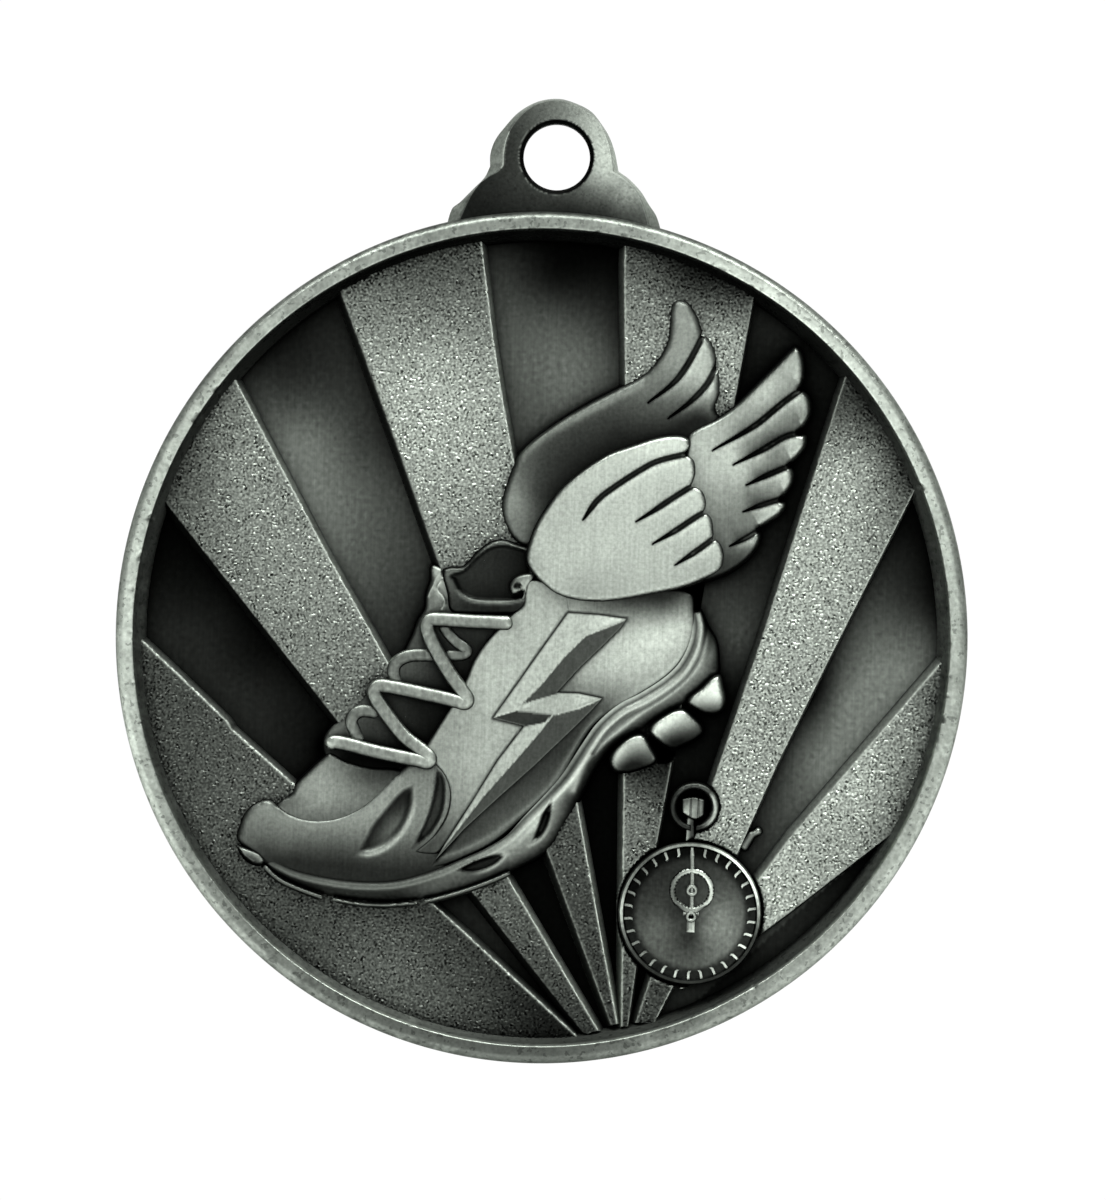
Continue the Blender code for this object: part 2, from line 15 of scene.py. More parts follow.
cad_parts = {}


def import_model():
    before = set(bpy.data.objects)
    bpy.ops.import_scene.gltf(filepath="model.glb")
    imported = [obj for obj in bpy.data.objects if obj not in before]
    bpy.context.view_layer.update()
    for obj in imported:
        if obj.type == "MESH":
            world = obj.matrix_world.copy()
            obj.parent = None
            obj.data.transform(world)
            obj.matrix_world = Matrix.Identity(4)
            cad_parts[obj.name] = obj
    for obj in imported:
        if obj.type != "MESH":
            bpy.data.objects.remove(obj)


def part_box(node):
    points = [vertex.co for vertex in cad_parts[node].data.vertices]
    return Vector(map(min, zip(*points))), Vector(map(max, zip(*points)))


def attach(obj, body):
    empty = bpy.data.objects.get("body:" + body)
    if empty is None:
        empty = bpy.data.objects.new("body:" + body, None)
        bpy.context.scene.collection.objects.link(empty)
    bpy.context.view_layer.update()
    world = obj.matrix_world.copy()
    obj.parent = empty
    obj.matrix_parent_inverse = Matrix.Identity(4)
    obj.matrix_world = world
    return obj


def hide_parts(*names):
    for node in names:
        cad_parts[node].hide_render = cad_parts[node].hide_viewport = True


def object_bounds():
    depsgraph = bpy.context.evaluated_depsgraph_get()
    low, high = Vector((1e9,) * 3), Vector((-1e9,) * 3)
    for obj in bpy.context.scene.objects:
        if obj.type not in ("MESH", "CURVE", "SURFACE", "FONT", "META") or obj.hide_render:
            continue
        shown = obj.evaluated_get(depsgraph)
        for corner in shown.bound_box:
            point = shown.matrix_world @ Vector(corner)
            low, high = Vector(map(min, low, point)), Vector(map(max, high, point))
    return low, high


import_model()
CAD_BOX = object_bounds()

# ---------------------------------------------------------------- sizes, in medal millimetres
MM = 0.001
_rim_low, _rim_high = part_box("border_rim")
_, _lug_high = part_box("ribbon_lug")
DISC_Z = (_rim_high[2] + _rim_low[2]) / 2 / MM
HALF_T = _rim_high[1] / MM
EYE_Y = -DISC_Z
EYE_R = 1.95
CHAMFER_R = 2.15              # outer edge of the eye's chamfer
LUG_HALF_T = _lug_high[1] / MM
LUG_TOP_Y = _lug_high[2] / MM - DISC_Z

UNDER_RIM_R = 23.62           # where the pieces of the field end, hidden under the rim
GROUND = 0.4                  # height of the valleys
SUNK = 0.3                    # height of a raised piece's hidden back
RAY_BACK = 0.25
RAY_TOP = 0.9
RAY_GRAIN = 0.036             # height of the stipple
WIDE_SLOPE = 0.34             # width of the wide field's sloping edge
BACK = -1.4
CONVERGE = (5.5, -25.0)       # where the rays would meet

FINE = 0.078       # spacing of mesh points on the stippled rays
SMOOTH = 0.13       # and on smooth pieces
WEB_PITCH = 0.17
LINE_STEP = 0.1
RIM_STEPS = 1440
RINGS = (0.04, 0.09, 0.16, 0.26)      # rows of mesh points just inside an outline

RASTER = 0.1                          # cell of the height map on which hollows are found
RASTER_SIZE = 640
RASTER_LOW = np.array([0.0, 2.0]) - RASTER * RASTER_SIZE / 2


# ---------------------------------------------------------------- lines and outlines
def curve(points, closed=True, step=LINE_STEP):
    """A smooth line through the points; a third value of 1 marks a sharp corner."""
    at = np.array([p[:2] for p in points], float)
    sharp = [len(p) > 2 for p in points]
    count = len(at)
    out = []
    for i in range(count if closed else count - 1):
        j = (i + 1) % count
        a, b = at[i], at[j]
        length = np.hypot(*(b - a))
        before = a if sharp[i] or (not closed and i == 0) else at[i - 1]
        after = b if sharp[j] or (not closed and j == count - 1) else at[(j + 1) % count]
        ta = (b - before) / max(np.hypot(*(b - before)), 1e-9) * length
        tb = (after - a) / max(np.hypot(*(after - a)), 1e-9) * length
        t = np.arange(max(1, math.ceil(length / step)))[:, None] / max(1, math.ceil(length / step))
        out.append((2 * t**3 - 3 * t**2 + 1) * a + (t**3 - 2 * t**2 + t) * ta
                   + (3 * t**2 - 2 * t**3) * b + (t**3 - t**2) * tb)
    if not closed:
        out.append(at[-1:])
    return np.concatenate(out)


def arc(centre, radius, start, end, step=LINE_STEP):
    """Points on an arc, angles in degrees from +x."""
    count = max(2, math.ceil(abs(math.radians(end - start)) * radius / step))
    turn = np.radians(np.linspace(start, end, count, endpoint=abs(end - start) < 360))
    return np.stack([centre[0] + radius * np.cos(turn), centre[1] + radius * np.sin(turn)], 1)


def shifted(line, distance):
    """The line moved sideways, to its left for a positive distance."""
    along = np.gradient(line, axis=0)
    along /= np.hypot(along[:, 0], along[:, 1])[:, None] + 1e-12
    return line + distance * np.stack([-along[:, 1], along[:, 0]], 1)


def swung(line, distances):
    """The line moved sideways by a distance at each of its points."""
    return line + (shifted(line, 1.0) - line) * np.asarray(distances)[:, None]


def band(points, width, start=1.0, end=1.0):
    """The outline of a strip along a line, with its width scaled at either end."""
    line = curve(points, closed=False)
    share = np.linspace(0, 1, len(line))
    half = width / 2 * np.interp(share, [0, 0.12, 0.88, 1], [start, 1, 1, end])
    return np.concatenate([swung(line, -half), swung(line, half)[::-1]])

def nearest(points, line, closed=False):
    """Distance to a line, the share of its length at the nearest place, and the side (left > 0)."""
    a = line if closed else line[:-1]
    b = np.roll(line, -1, 0) if closed else line[1:]
    run = b - a
    square = (run * run).sum(1) + 1e-12
    start = np.concatenate([[0], np.cumsum(np.sqrt(square))])
    count = len(a)
    if count < 24:
        choices = [np.full(len(points), k) for k in range(count)]
    else:
        tree = KDTree(len(line))
        for k, (x, y) in enumerate(line.tolist()):
            tree.insert((x, y, 0), k)
        tree.balance()
        at = np.array([tree.find((x, y, 0))[1] for x, y in points.tolist()], int)
        before, after = at - 1, at
        choices = [before % count, after % count] if closed else [
            np.clip(before, 0, count - 1), np.clip(after, 0, count - 1)]
    distance = np.full(len(points), np.inf)
    share, side = np.zeros(len(points)), np.ones(len(points))
    for j in choices:
        q, d = points - a[j], run[j]
        t = np.clip((q * d).sum(1) / square[j], 0, 1)
        gap = ((q - t[:, None] * d) ** 2).sum(1)
        closer = gap < distance
        distance = np.where(closer, gap, distance)
        share = np.where(closer, start[j] + t * (start[j + 1] - start[j]), share)
        side = np.where(closer, d[:, 0] * q[:, 1] - d[:, 1] * q[:, 0], side)
    return np.sqrt(distance), share / start[-1], np.sign(side)


def inside(points, outline):
    """Which points lie inside a closed outline: each side flips the points to its left."""
    order = np.argsort(points[:, 1])
    x, y = points[order].T
    a, b = outline, np.roll(outline, -1, 0)
    first = np.searchsorted(y, np.minimum(a[:, 1], b[:, 1]))
    last = np.searchsorted(y, np.maximum(a[:, 1], b[:, 1]))
    flip = np.zeros(len(points), bool)
    for (ax, ay), (bx, by), i, j in zip(a.tolist(), b.tolist(), first, last):
        if j > i:
            flip[i:j] ^= x[i:j] < ax + (y[i:j] - ay) * (bx - ax) / (by - ay)
    hit = np.empty(len(points), bool)
    hit[order] = flip
    return hit


def ccw(outline):
    """The outline, anticlockwise."""
    x, y = outline.T
    return outline if (x * np.roll(y, -1) - y * np.roll(x, -1)).sum() > 0 else outline[::-1]


def ease(t):
    """A smooth step from 0 to 1."""
    t = np.clip(t, 0, 1)
    return t * t * (3 - 2 * t)

def rounded(t):
    """A quarter round from 0 to 1."""
    t = np.clip(t, 0, 1)
    return np.sqrt(1 - (1 - t) ** 2)

def about(points, centre):
    """The distance and the turn, in degrees from +x, of points about a centre."""
    x, y = points[..., 0] - centre[0], points[..., 1] - centre[1]
    return np.hypot(x, y), np.degrees(np.arctan2(y, x))

def cornered(points):
    """The same points, each one a sharp corner."""
    return [p + (1,) for p in points]

def blend(grid, left, low, right, high, part):
    """A grid's value between four of its cells."""
    across, up = part.T
    return ((grid[low, left] * (1 - across) + grid[low, right] * across) * (1 - up)
            + (grid[high, left] * (1 - across) + grid[high, right] * across) * up)

def paint(points, places, spread=0.55):
    """Greys flowing between the places (x, y, grey), on one smooth surface through them."""
    places = np.array(places, float)
    at, greys = places[:, :2], places[:, 2]

    def swell(a):
        return np.sqrt(((a[:, None] - at) ** 2).sum(2) + spread**2)
    count = len(at)
    system = np.ones((count + 1, count + 1))
    system[:count, :count] = swell(at) - 0.1 * np.eye(count)
    system[count, count] = 0
    weights = np.linalg.solve(system, np.append(greys, 0))
    out = swell(points) @ weights[:count] + weights[count]
    return np.clip(out, greys.min(), greys.max())


# ---------------------------------------------------------------- even random fields
class Field:
    """Seeded waves about one wavelength long over the whole face, with no period in sight."""

    def __init__(self, seed, wavelength, spread, cell=0.05):
        count = 1280
        noise = np.random.default_rng(seed).standard_normal((count, count))
        fx = np.fft.rfftfreq(count, cell)[None] * wavelength
        fy = np.fft.fftfreq(count, cell)[:, None] * wavelength
        keep = np.exp(-(((np.hypot(fx, fy) - 1) / spread) ** 2))
        grid = np.fft.irfft2(np.fft.rfft2(noise) * keep, (count, count))
        self.grid = grid / grid.std()
        self.cell = cell

    def __call__(self, points):
        at = points / self.cell
        i = np.floor(at).astype(int)
        f = at - i
        n = len(self.grid)
        x, y = i[:, 0] % n, i[:, 1] % n
        return blend(self.grid, x, y, (x + 1) % n, (y + 1) % n, f)


STIPPLE = Field(3, 0.21, 0.55)
CLUMPS = Field(9, 0.5, 0.6)
MOTTLE = Field(5, 2.2, 0.6)
GRAIN = Field(7, 0.45, 0.7)


# ---------------------------------------------------------------- relief pieces
RELIEFS = []


class Relief:
    """One raised piece: an outline, and a shape that gives height and grey at any point in it."""

    def __init__(self, name, node, slot, outline, shape, back=SUNK, pitch=SMOOTH, hole=None,
                 both_sides=False, rings=RINGS, lines=(), slope_shade=None, back_grey=20):
        self.name, self.node, self.slot = name, node, slot
        self.outline, self.shape = ccw(outline), shape
        self.back, self.pitch, self.hole = back, pitch, hole
        self.back_grey = back_grey
        self.both_sides, self.rings, self.lines = both_sides, rings, lines
        self.slope_shade = slope_shade
        RELIEFS.append(self)

    def points(self):
        """The outline, rings close inside it, and a triangular grid in the middle."""
        edge = self.outline
        loops = [edge] + ([self.hole] if self.hole is not None else [])
        gathered = list(loops)
        along = np.roll(edge, -1, 0) - np.roll(edge, 1, 0)
        along /= np.hypot(along[:, 0], along[:, 1])[:, None] + 1e-12
        inward = np.stack([-along[:, 1], along[:, 0]], 1)
        for depth in self.rings:
            ring = edge + inward * depth
            ring = ring[inside(ring, edge)]
            ring = ring[nearest(ring, edge, True)[0] > depth * 0.97]
            gathered.append(self.clear(ring, depth))
        low, high = edge.min(0), edge.max(0)
        rows = np.arange(low[1], high[1], self.pitch * 0.866)
        columns = np.arange(low[0], high[0], self.pitch)
        x, y = np.meshgrid(columns, rows)
        x = x + (np.arange(len(rows)) % 2)[:, None] * self.pitch / 2
        grid = np.stack([x.ravel(), y.ravel()], 1)
        grid = grid[inside(grid, edge)]
        last = (self.rings[-1] if self.rings else 0) + self.pitch * 0.5
        grid = grid[nearest(grid, edge[:: 2 if len(edge) > 400 else 1], True)[0] > last]
        creases = []
        for line in self.lines:
            keep = inside(line, edge) & (nearest(line, edge, True)[0] > 0.02)
            grid = grid[nearest(grid, line)[0] > 0.05]
            creases += [part for part in np.split(line, np.flatnonzero(~keep)) if len(part) > 1]
        creases = [part[inside(part, edge)] for part in creases]
        creases = [part for part in creases if len(part) > 1]
        gathered.append(self.clear(grid, last))
        return loops, creases, np.concatenate(gathered)

    def clear(self, points, gap):
        """The points that keep a gap to the hole."""
        if self.hole is None or not len(points):
            return points
        return points[~inside(points, self.hole) & (nearest(points, self.hole, True)[0] > gap)]

    def build(self, cavity):
        """Triangulates the points, raises them, and closes the piece with walls and a back."""
        loops, creases, flat = self.points()
        edges, start = [], 0
        for loop in loops:
            n = len(loop)
            edges += [(start + i, start + (i + 1) % n) for i in range(n)]
            start += n
        start = len(flat)
        for line in creases:
            edges += [(start + i, start + i + 1) for i in range(len(line) - 1)]
            start += len(line)
        flat = np.concatenate([flat] + creases)
        corners, _, faces, *_ = delaunay_2d_cdt([Vector(p) for p in flat], edges, [], 1, 1e-6, False)
        flat, faces = np.array(corners), np.array(faces)
        middles = flat[faces].mean(1)
        keep = inside(middles, self.outline)
        if self.hole is not None:
            keep &= ~inside(middles, self.hole)
        faces = faces[keep]
        used, faces = np.unique(faces, return_inverse=True)
        flat, faces = flat[used], faces.reshape(-1, 3)
        count = len(flat)
        runs = np.concatenate([faces[:, [0, 1]], faces[:, [1, 2]], faces[:, [2, 0]]])
        lone = ~np.isin(runs[:, 0] * count + runs[:, 1], runs[:, 1] * count + runs[:, 0])
        edges = runs[lone]
        height, grey = self.shape(flat)
        if cavity is not None:
            grey = cavity(flat, height, grey)
        # painted shade: steep sides keep only a share of their grey
        if self.slope_shade:
            grey = grey * np.interp(facing(flat, height, faces), SLOPES, self.slope_shade)
        verts = world(flat, height)
        tones = [grey]
        polygons = faces.tolist()
        if self.both_sides:
            verts = np.concatenate([verts, world(flat, -height)])
            tones.append(grey)
            polygons += (faces[:, ::-1] + count).tolist()
            polygons += [(b, a, a + count, b + count) for a, b in edges.tolist()]
        else:
            rim = np.unique(edges)
            below = {a: count + k for k, a in enumerate(rim.tolist())}
            verts = np.concatenate([verts, world(flat[rim], np.full(len(rim), self.back))])
            tones.append(np.full(len(rim), self.back_grey))
            polygons += [(b, a, below[a], below[b]) for a, b in edges.tolist()]
            following = dict(edges.tolist())
            while following:
                loop = [next(iter(following))]
                while following.get(loop[-1]) is not None and following[loop[-1]] != loop[0]:
                    loop.append(following.pop(loop[-1]))
                following.pop(loop[-1], None)
                polygons.append([below[a] for a in reversed(loop)])
        finish_mesh(self.name, verts, polygons, np.concatenate(tones), self.node, self.slot)


def facing(flat, height, faces):
    """How squarely the surface faces the viewer at each point, 0 to 1."""
    at = np.column_stack([flat, height])
    a, b, c = (at[faces[:, k]] for k in range(3))
    total = np.zeros_like(at)
    for k in range(3):
        np.add.at(total, faces[:, k], np.cross(b - a, c - a))
    return abs(total[:, 2]) / (np.sqrt((total**2).sum(1)) + 1e-12)


def world(flat, height):
    """Medal millimetres to the frame's metres."""
    return np.stack([flat[:, 0], -height, flat[:, 1] + DISC_Z], 1) * MM


def finish_mesh(name, verts, polygons, grey, node, slot):
    """A mesh object with its greys, standing for a CAD node."""
    mesh = bpy.data.meshes.new(name)
    mesh.from_pydata(verts.tolist(), [], polygons)
    mesh.shade_smooth()
    mesh.set_sharp_from_angle(angle=math.radians(52))
    tone = mesh.attributes.new("tone", "FLOAT", "POINT")
    tone.data.foreach_set("value", np.clip(grey / 255, 0, 1).astype(np.float32))
    piece = bpy.data.objects.new(name, mesh)
    bpy.context.scene.collection.objects.link(piece)
    piece.data.materials.append(METALS[slot])
    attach(piece, "root")
    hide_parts(node)


# ---------------------------------------------------------------- features on a relief
SLOPES = (0.1, 0.5, 0.8, 0.97)    # how squarely a place faces the viewer, and the share of its grey that it keeps there: painted shade on the steep sides
SLOPE_SHADE = (0.28, 0.45, 0.7, 1.0)    # and the share of its grey that it keeps there
# the bolt's milder painted shade on its steep sides
BOLT_SLOPE_SHADE = (0.5, 0.7, 0.9, 1.0)


def groove(points, width, depth, dark=30, tip=0.45, above=0.0, reach=0.5):
    """A cut that widens from its first point, with its left bank shaded and its right bank lit."""
    line = curve(points, closed=False)

    def cut(p, h, grey):
        near, share, side = nearest(p, line)
        half = width / 2 * (0.3 + 0.7 * np.clip(share / tip, 0, 1))
        if above:
            strength = above * ease(share * 3) * (share < 0.999)
            grey *= 1 - strength * np.exp(-near / reach) * (side > 0)
            grey += 26 * ease(share * 3) * np.exp(-((near - half - 0.12) / 0.16) ** 2) * (side < 0)
        k = ease((1 - near / half) * 1.5)
        h -= depth * k
        grey += (dark - grey) * k
    grow = width / 2 * (0.3 + 0.7 * np.clip(np.linspace(0, 1, len(line)) / tip, 0, 1))
    cut.lines = [line, swung(line, grow * 0.55), swung(line, -grow * 0.55), swung(line, grow),
                 swung(line, -grow)]
    return cut


def ridge(points, width, height, light=None, amount=1.0):
    """A soft raised line, given its own grey as a painted highlight."""
    line = curve(points, closed=False)

    def raise_line(p, h, grey):
        k = np.exp(-((nearest(p, line)[0] / width) ** 2))
        h += height * k
        # painted highlight along the line
        if light is not None:
            grey += (light - grey) * k * amount
    raise_line.lines = [line, shifted(line, width), shifted(line, -width)]
    return raise_line


def recess(points, depth, slope, grey_in, lip=None, lip_side=(1, -1)):
    """A hollow with sloping sides and, if asked, a painted highlight along its lip on one side of it."""
    outline = ccw(curve(points))
    way = np.array(lip_side, float) / math.hypot(*lip_side)
    centre = outline.mean(0)

    def cut(p, h, grey):
        near = nearest(p, outline, True)[0]
        within = inside(p, outline)
        k = np.where(within, ease(near / slope), 0)
        h -= depth * k
        floor_grey = grey_in(p) if callable(grey_in) else grey_in
        grey += (floor_grey - grey) * np.where(within, np.clip(near / slope * 2, 0, 1), 0)
        # painted highlight along the lip, on the side that lip_side points to
        if lip:
            toward = np.clip(((p - centre) * way).sum(1) / 0.6, 0, 1)
            line = np.exp(-((near - 0.05) / 0.14) ** 2) * toward
            grey += (lip - grey) * line
            h += 0.05 * line
    cut.lines = [np.concatenate([outline, outline[:1]])]
    return cut


def facet(points, grey_in, soft=0.05):
    """A patch of one grey with a narrow soft edge."""
    outline = np.array(points, float)

    def fill(p, h, grey):
        near = nearest(p, outline, True)[0]
        k = np.where(inside(p, outline), 1.0, np.clip(1 - near / soft, 0, 1))
        grey += (grey_in - grey) * k
    return fill


def figure(name, node, slot, outline, top, edge, greys, *features, foot=SUNK + 0.05,
           crown=0.0, crown_width=2.0, edge_shading_grey=None, edge_reach=0.12, pitch=SMOOTH, spread=0.55):
    """A raised figure: its edge rolls over a width, its middle may be crowned."""
    outline = ccw(outline)

    def shape(p):
        near = nearest(p, outline, True)[0]
        h = foot + (top - foot) * rounded(near / edge) + crown * (1 - np.exp(-near / crown_width))
        # the listed greys: the plating's patina with light and shade painted in
        grey = paint(p, greys, spread=spread)
        grey += 4 * GRAIN(p) * (grey / 255)
        # painted light and shade on the rolled edge: its outer part takes one grey
        if edge_shading_grey is not None:
            grey += (edge_shading_grey - grey) * np.clip(1 - near / edge_reach, 0, 1)
        for feature in features:
            feature(p, h, grey)
        return h, grey
    lines = [line for feature in features for line in getattr(feature, "lines", ())]
    Relief(name, node, slot, outline, shape, pitch=pitch, lines=lines, slope_shade=SLOPE_SHADE)


# ---------------------------------------------------------------- materials
GAIN = 0.88
DISPLAY_GAMMA = 2.2
TINT = (0.905, 1.0, 0.885)        # the plating's slightly green cast


def silver(name, rough, streak, pits, gain, grain, scratch):
    """Antique silver plate: its grey comes from the piece, its brushing and pits from here."""
    material = bpy.data.materials.new(name)
    material.use_nodes = True
    nodes, links = material.node_tree.nodes, material.node_tree.links
    shader = nodes["Principled BSDF"]
    shader.inputs["Metallic"].default_value = 1.0
    shader.inputs["Specular Tint"].default_value = (0.35, 0.35, 0.35, 1)

    def maths(operation, a, b):
        made = nodes.new("ShaderNodeMath")
        made.operation = operation
        for k, value in enumerate((a, b)):
            if isinstance(value, (int, float)):
                made.inputs[k].default_value = value
            else:
                links.new(value, made.inputs[k])
        return made.outputs[0]

    place = nodes.new("ShaderNodeTexCoord").outputs["Object"]

    def noise(scale, detail, stretch=(1, 1, 1), turned=(0, 0, 0)):
        mapping = nodes.new("ShaderNodeMapping")
        mapping.inputs["Rotation"].default_value = turned
        mapping.inputs["Scale"].default_value = [scale * s for s in stretch]
        links.new(place, mapping.inputs["Vector"])
        made = nodes.new("ShaderNodeTexNoise")
        made.inputs["Scale"].default_value = 1.0
        made.inputs["Detail"].default_value = detail
        links.new(mapping.outputs[0], made.inputs["Vector"])
        return made.outputs["Fac"]

    fine = noise(5200, 2)
    brushed = noise(7000, 2, (1, 1, 0.04))
    broad = noise(900, 3)
    attribute = nodes.new("ShaderNodeAttribute")
    attribute.attribute_name = "tone"
    tone = attribute.outputs["Fac"]
    linear = maths("MULTIPLY", maths("POWER", tone, DISPLAY_GAMMA), gain)
    vary = maths("ADD", 1 - streak / 2 - grain / 2,
                 maths("ADD", maths("MULTIPLY", brushed, streak), maths("MULTIPLY", fine, grain)))
    linear = maths("MULTIPLY", linear, vary)
    if scratch:
        lines = noise(1.0, 2, (700, 700, 9000), (0.3, 0.66, 0))
        cut = maths("MULTIPLY", maths("LESS_THAN", lines, 0.34), scratch)
        linear = maths("MULTIPLY", linear, maths("SUBTRACT", 1.0, cut))
    height = maths("ADD", fine, maths("MULTIPLY", brushed, 2 * streak))
    if pits:
        speck = noise(3100, 1)
        pit = maths("MULTIPLY", maths("LESS_THAN", speck, 0.36), pits)
        linear = maths("MULTIPLY", linear, maths("SUBTRACT", 1.0, pit))
        height = maths("SUBTRACT", height, maths("MULTIPLY", pit, 0.8))
    tint = nodes.new("ShaderNodeCombineColor")
    for k, part in enumerate(TINT):
        links.new(maths("MULTIPLY", linear, part), tint.inputs[k])
    links.new(tint.outputs[0], shader.inputs["Base Color"])
    dull = maths("ADD", maths("MULTIPLY", broad, 0.16), maths("MULTIPLY", tone, -0.12))
    links.new(maths("ADD", dull, rough), shader.inputs["Roughness"])
    bump = nodes.new("ShaderNodeBump")
    bump.inputs["Strength"].default_value = 0.35
    bump.inputs["Distance"].default_value = 0.03 * MM
    links.new(height, bump.inputs["Height"])
    links.new(bump.outputs[0], shader.inputs["Normal"])
    return material


FINISHES = {  # slot: roughness, brushing, pits, gain, grain, scratches
    "border": (0.40, 0.10, 0.4, GAIN, 0.75, 0.0),
    "brushed_ground": (0.42, 0.45, 0.0, GAIN, 0.35, 0.0),
    "stippled_ray": (0.42, 0.0, 0.0, GAIN, 1.0, 0.0),
    "lug": (0.42, 0.05, 0.2, GAIN, 0.95, 0.0),
    "wing": (0.38, 0.45, 0.0, 0.6, 0.7, 0.08),
    "wing_shade": (0.42, 0.3, 0.0, 0.74, 0.8, 0.06),
    "shoe": (0.38, 0.5, 0.0, 0.64, 0.8, 0.05),
    "sole": (0.36, 0.15, 0.0, 0.74, 0.6, 0.0),
    "watch": (0.38, 0.5, 0.0, GAIN, 0.7, 0.0),
}
METALS = {slot: silver(slot + "_silver", *finish) for slot, finish in FINISHES.items()}

# ---------------------------------------------------------------- sunburst rays
def under_rim(first, last):
    """The arc under the rim between two points, the short way round."""
    a, b = (about(np.array(p), (0, 0))[1] for p in (first, last))
    if b - a > 180:
        b -= 360
    if a - b > 180:
        b += 360
    return arc((0, 0), UNDER_RIM_R, a, b)

CLEARED = ((9.2, -15.9, 4.3, 120), (9.25, -9.65, 1.5, 120), (9.2, 2.6, 1.0, 0), (7.3, -6.2, 0.95, 0),
           (5.2, -6.0, 1.0, 0))  # rounds about the watch, its bow and the heel, where the rays sink and are painted dark as shade: x, y, radius, lit edge (a painted highlight)


def stippled(p, climb, greys, polish):
    """Height and grey of a ray that climbs its slope and is stippled on top."""
    grain = STIPPLE(p) + 0.25 * CLUMPS(p)
    h = GROUND + (RAY_TOP - GROUND) * np.clip(climb, 0, 1)
    h += RAY_GRAIN * grain * np.clip((climb - 1) * 6, 0, 1)
    return h, polish * paint(p, greys, spread=1.5) * (1 + 0.2 * grain)

def ray(number, left, right, greys):
    """A stippled ray between two sloping sides. A side is (points, slope width, slope grey, lit grey)."""
    left_foot = shifted(curve(cornered(left[0]), closed=False), -left[1])
    right_foot = shifted(curve(cornered(right[0]), closed=False), right[1])
    head = under_rim(right_foot[0], left_foot[0])
    outline = ccw(np.concatenate([left_foot, right_foot[::-1], head]))

    def shape(p):
        sides = [(nearest(p, foot)[0], *side[1:])
                 for foot, side in ((left_foot, left), (right_foot, right))]
        climb = np.minimum(*(near / width for near, width, _, _ in sides))
        h, grey = stippled(p, climb, greys, 0.9)
        # painted light and shade on the sloping sides: each slope one grey by the way it faces, with a
        # painted highlight along the crest where lit is given
        for near, width, slope_grey, lit in sides:
            grey = np.where(near < width - 0.01, slope_grey, grey)
            if lit:
                grey += (lit - grey) * np.clip(1 - abs(near - width) / 0.11, 0, 1)
                grey += (0.6 * lit - grey) * np.clip(1 - near / 0.09, 0, 1)
        # painted shade in the cleared rounds, where the ray sinks, with a painted highlight at the edge
        # where lit is given
        for x, y, radius, lit in CLEARED:
            beyond = about(p, (x, y))[0] - radius
            k = ease(0.5 - beyond / 0.14)
            h -= (h - GROUND) * k
            grey += (14 - grey) * k
            grey += (lit - grey) * np.exp(-((beyond - 0.12) / 0.07) ** 2) * (lit > 0)
        return h, grey
    lines = [shifted(foot, way * (side[1] + beside)) for beside in (0, -0.08, 0.09)
             for foot, side, way in ((left_foot, left, 1), (right_foot, right, -1))]
    Relief(f"stippled_ray_{number}", f"sunray_{number}", "stippled_ray", outline, shape,
           back=RAY_BACK, pitch=FINE, rings=(), lines=lines)

def wide_field():
    """The wide stippled field below its one edge."""
    edge = curve([(-23.6, -0.75, 1), (-18.3, -5.5), (-18, -5.95, 1), (-14.4, -8.96, 1), (-6, -15.7, 1),
                  (2.9, -23.4, 1)], closed=False)
    foot = shifted(edge, WIDE_SLOPE)
    a, b = (about(foot[k], (0, 0))[1] for k in (0, -1))
    outline = ccw(np.concatenate([foot, arc((0, 0), UNDER_RIM_R, b, a - 360 if a > b else a)]))
    greys = [(-19, -9, 75), (-21.5, -4.5, 68), (-14, -17.5, 66), (-8, -19.8, 86), (-3, -21.4, 62),
             (1, -22.6, 30), (-17, -9.5, 82), (-10, -16.8, 70), (-5, -17.5, 60)]

    def shape(p):
        near = nearest(p, foot)[0]
        h, grey = stippled(p, near / WIDE_SLOPE, greys, 0.95)
        # its slope painted one grey, with a painted highlight along the top of the slope
        grey = np.where(near < WIDE_SLOPE, 80, grey)
        grey += (185 - grey) * np.clip(1 - abs(near - WIDE_SLOPE - 0.02) / 0.11, 0, 1)
        return h, grey
    Relief("stippled_ray_1", "sunray_1", "stippled_ray", outline, shape, back=RAY_BACK, pitch=FINE,
           rings=(), lines=[shifted(foot, -d) for d in (0.26, 0.35, 0.46)])

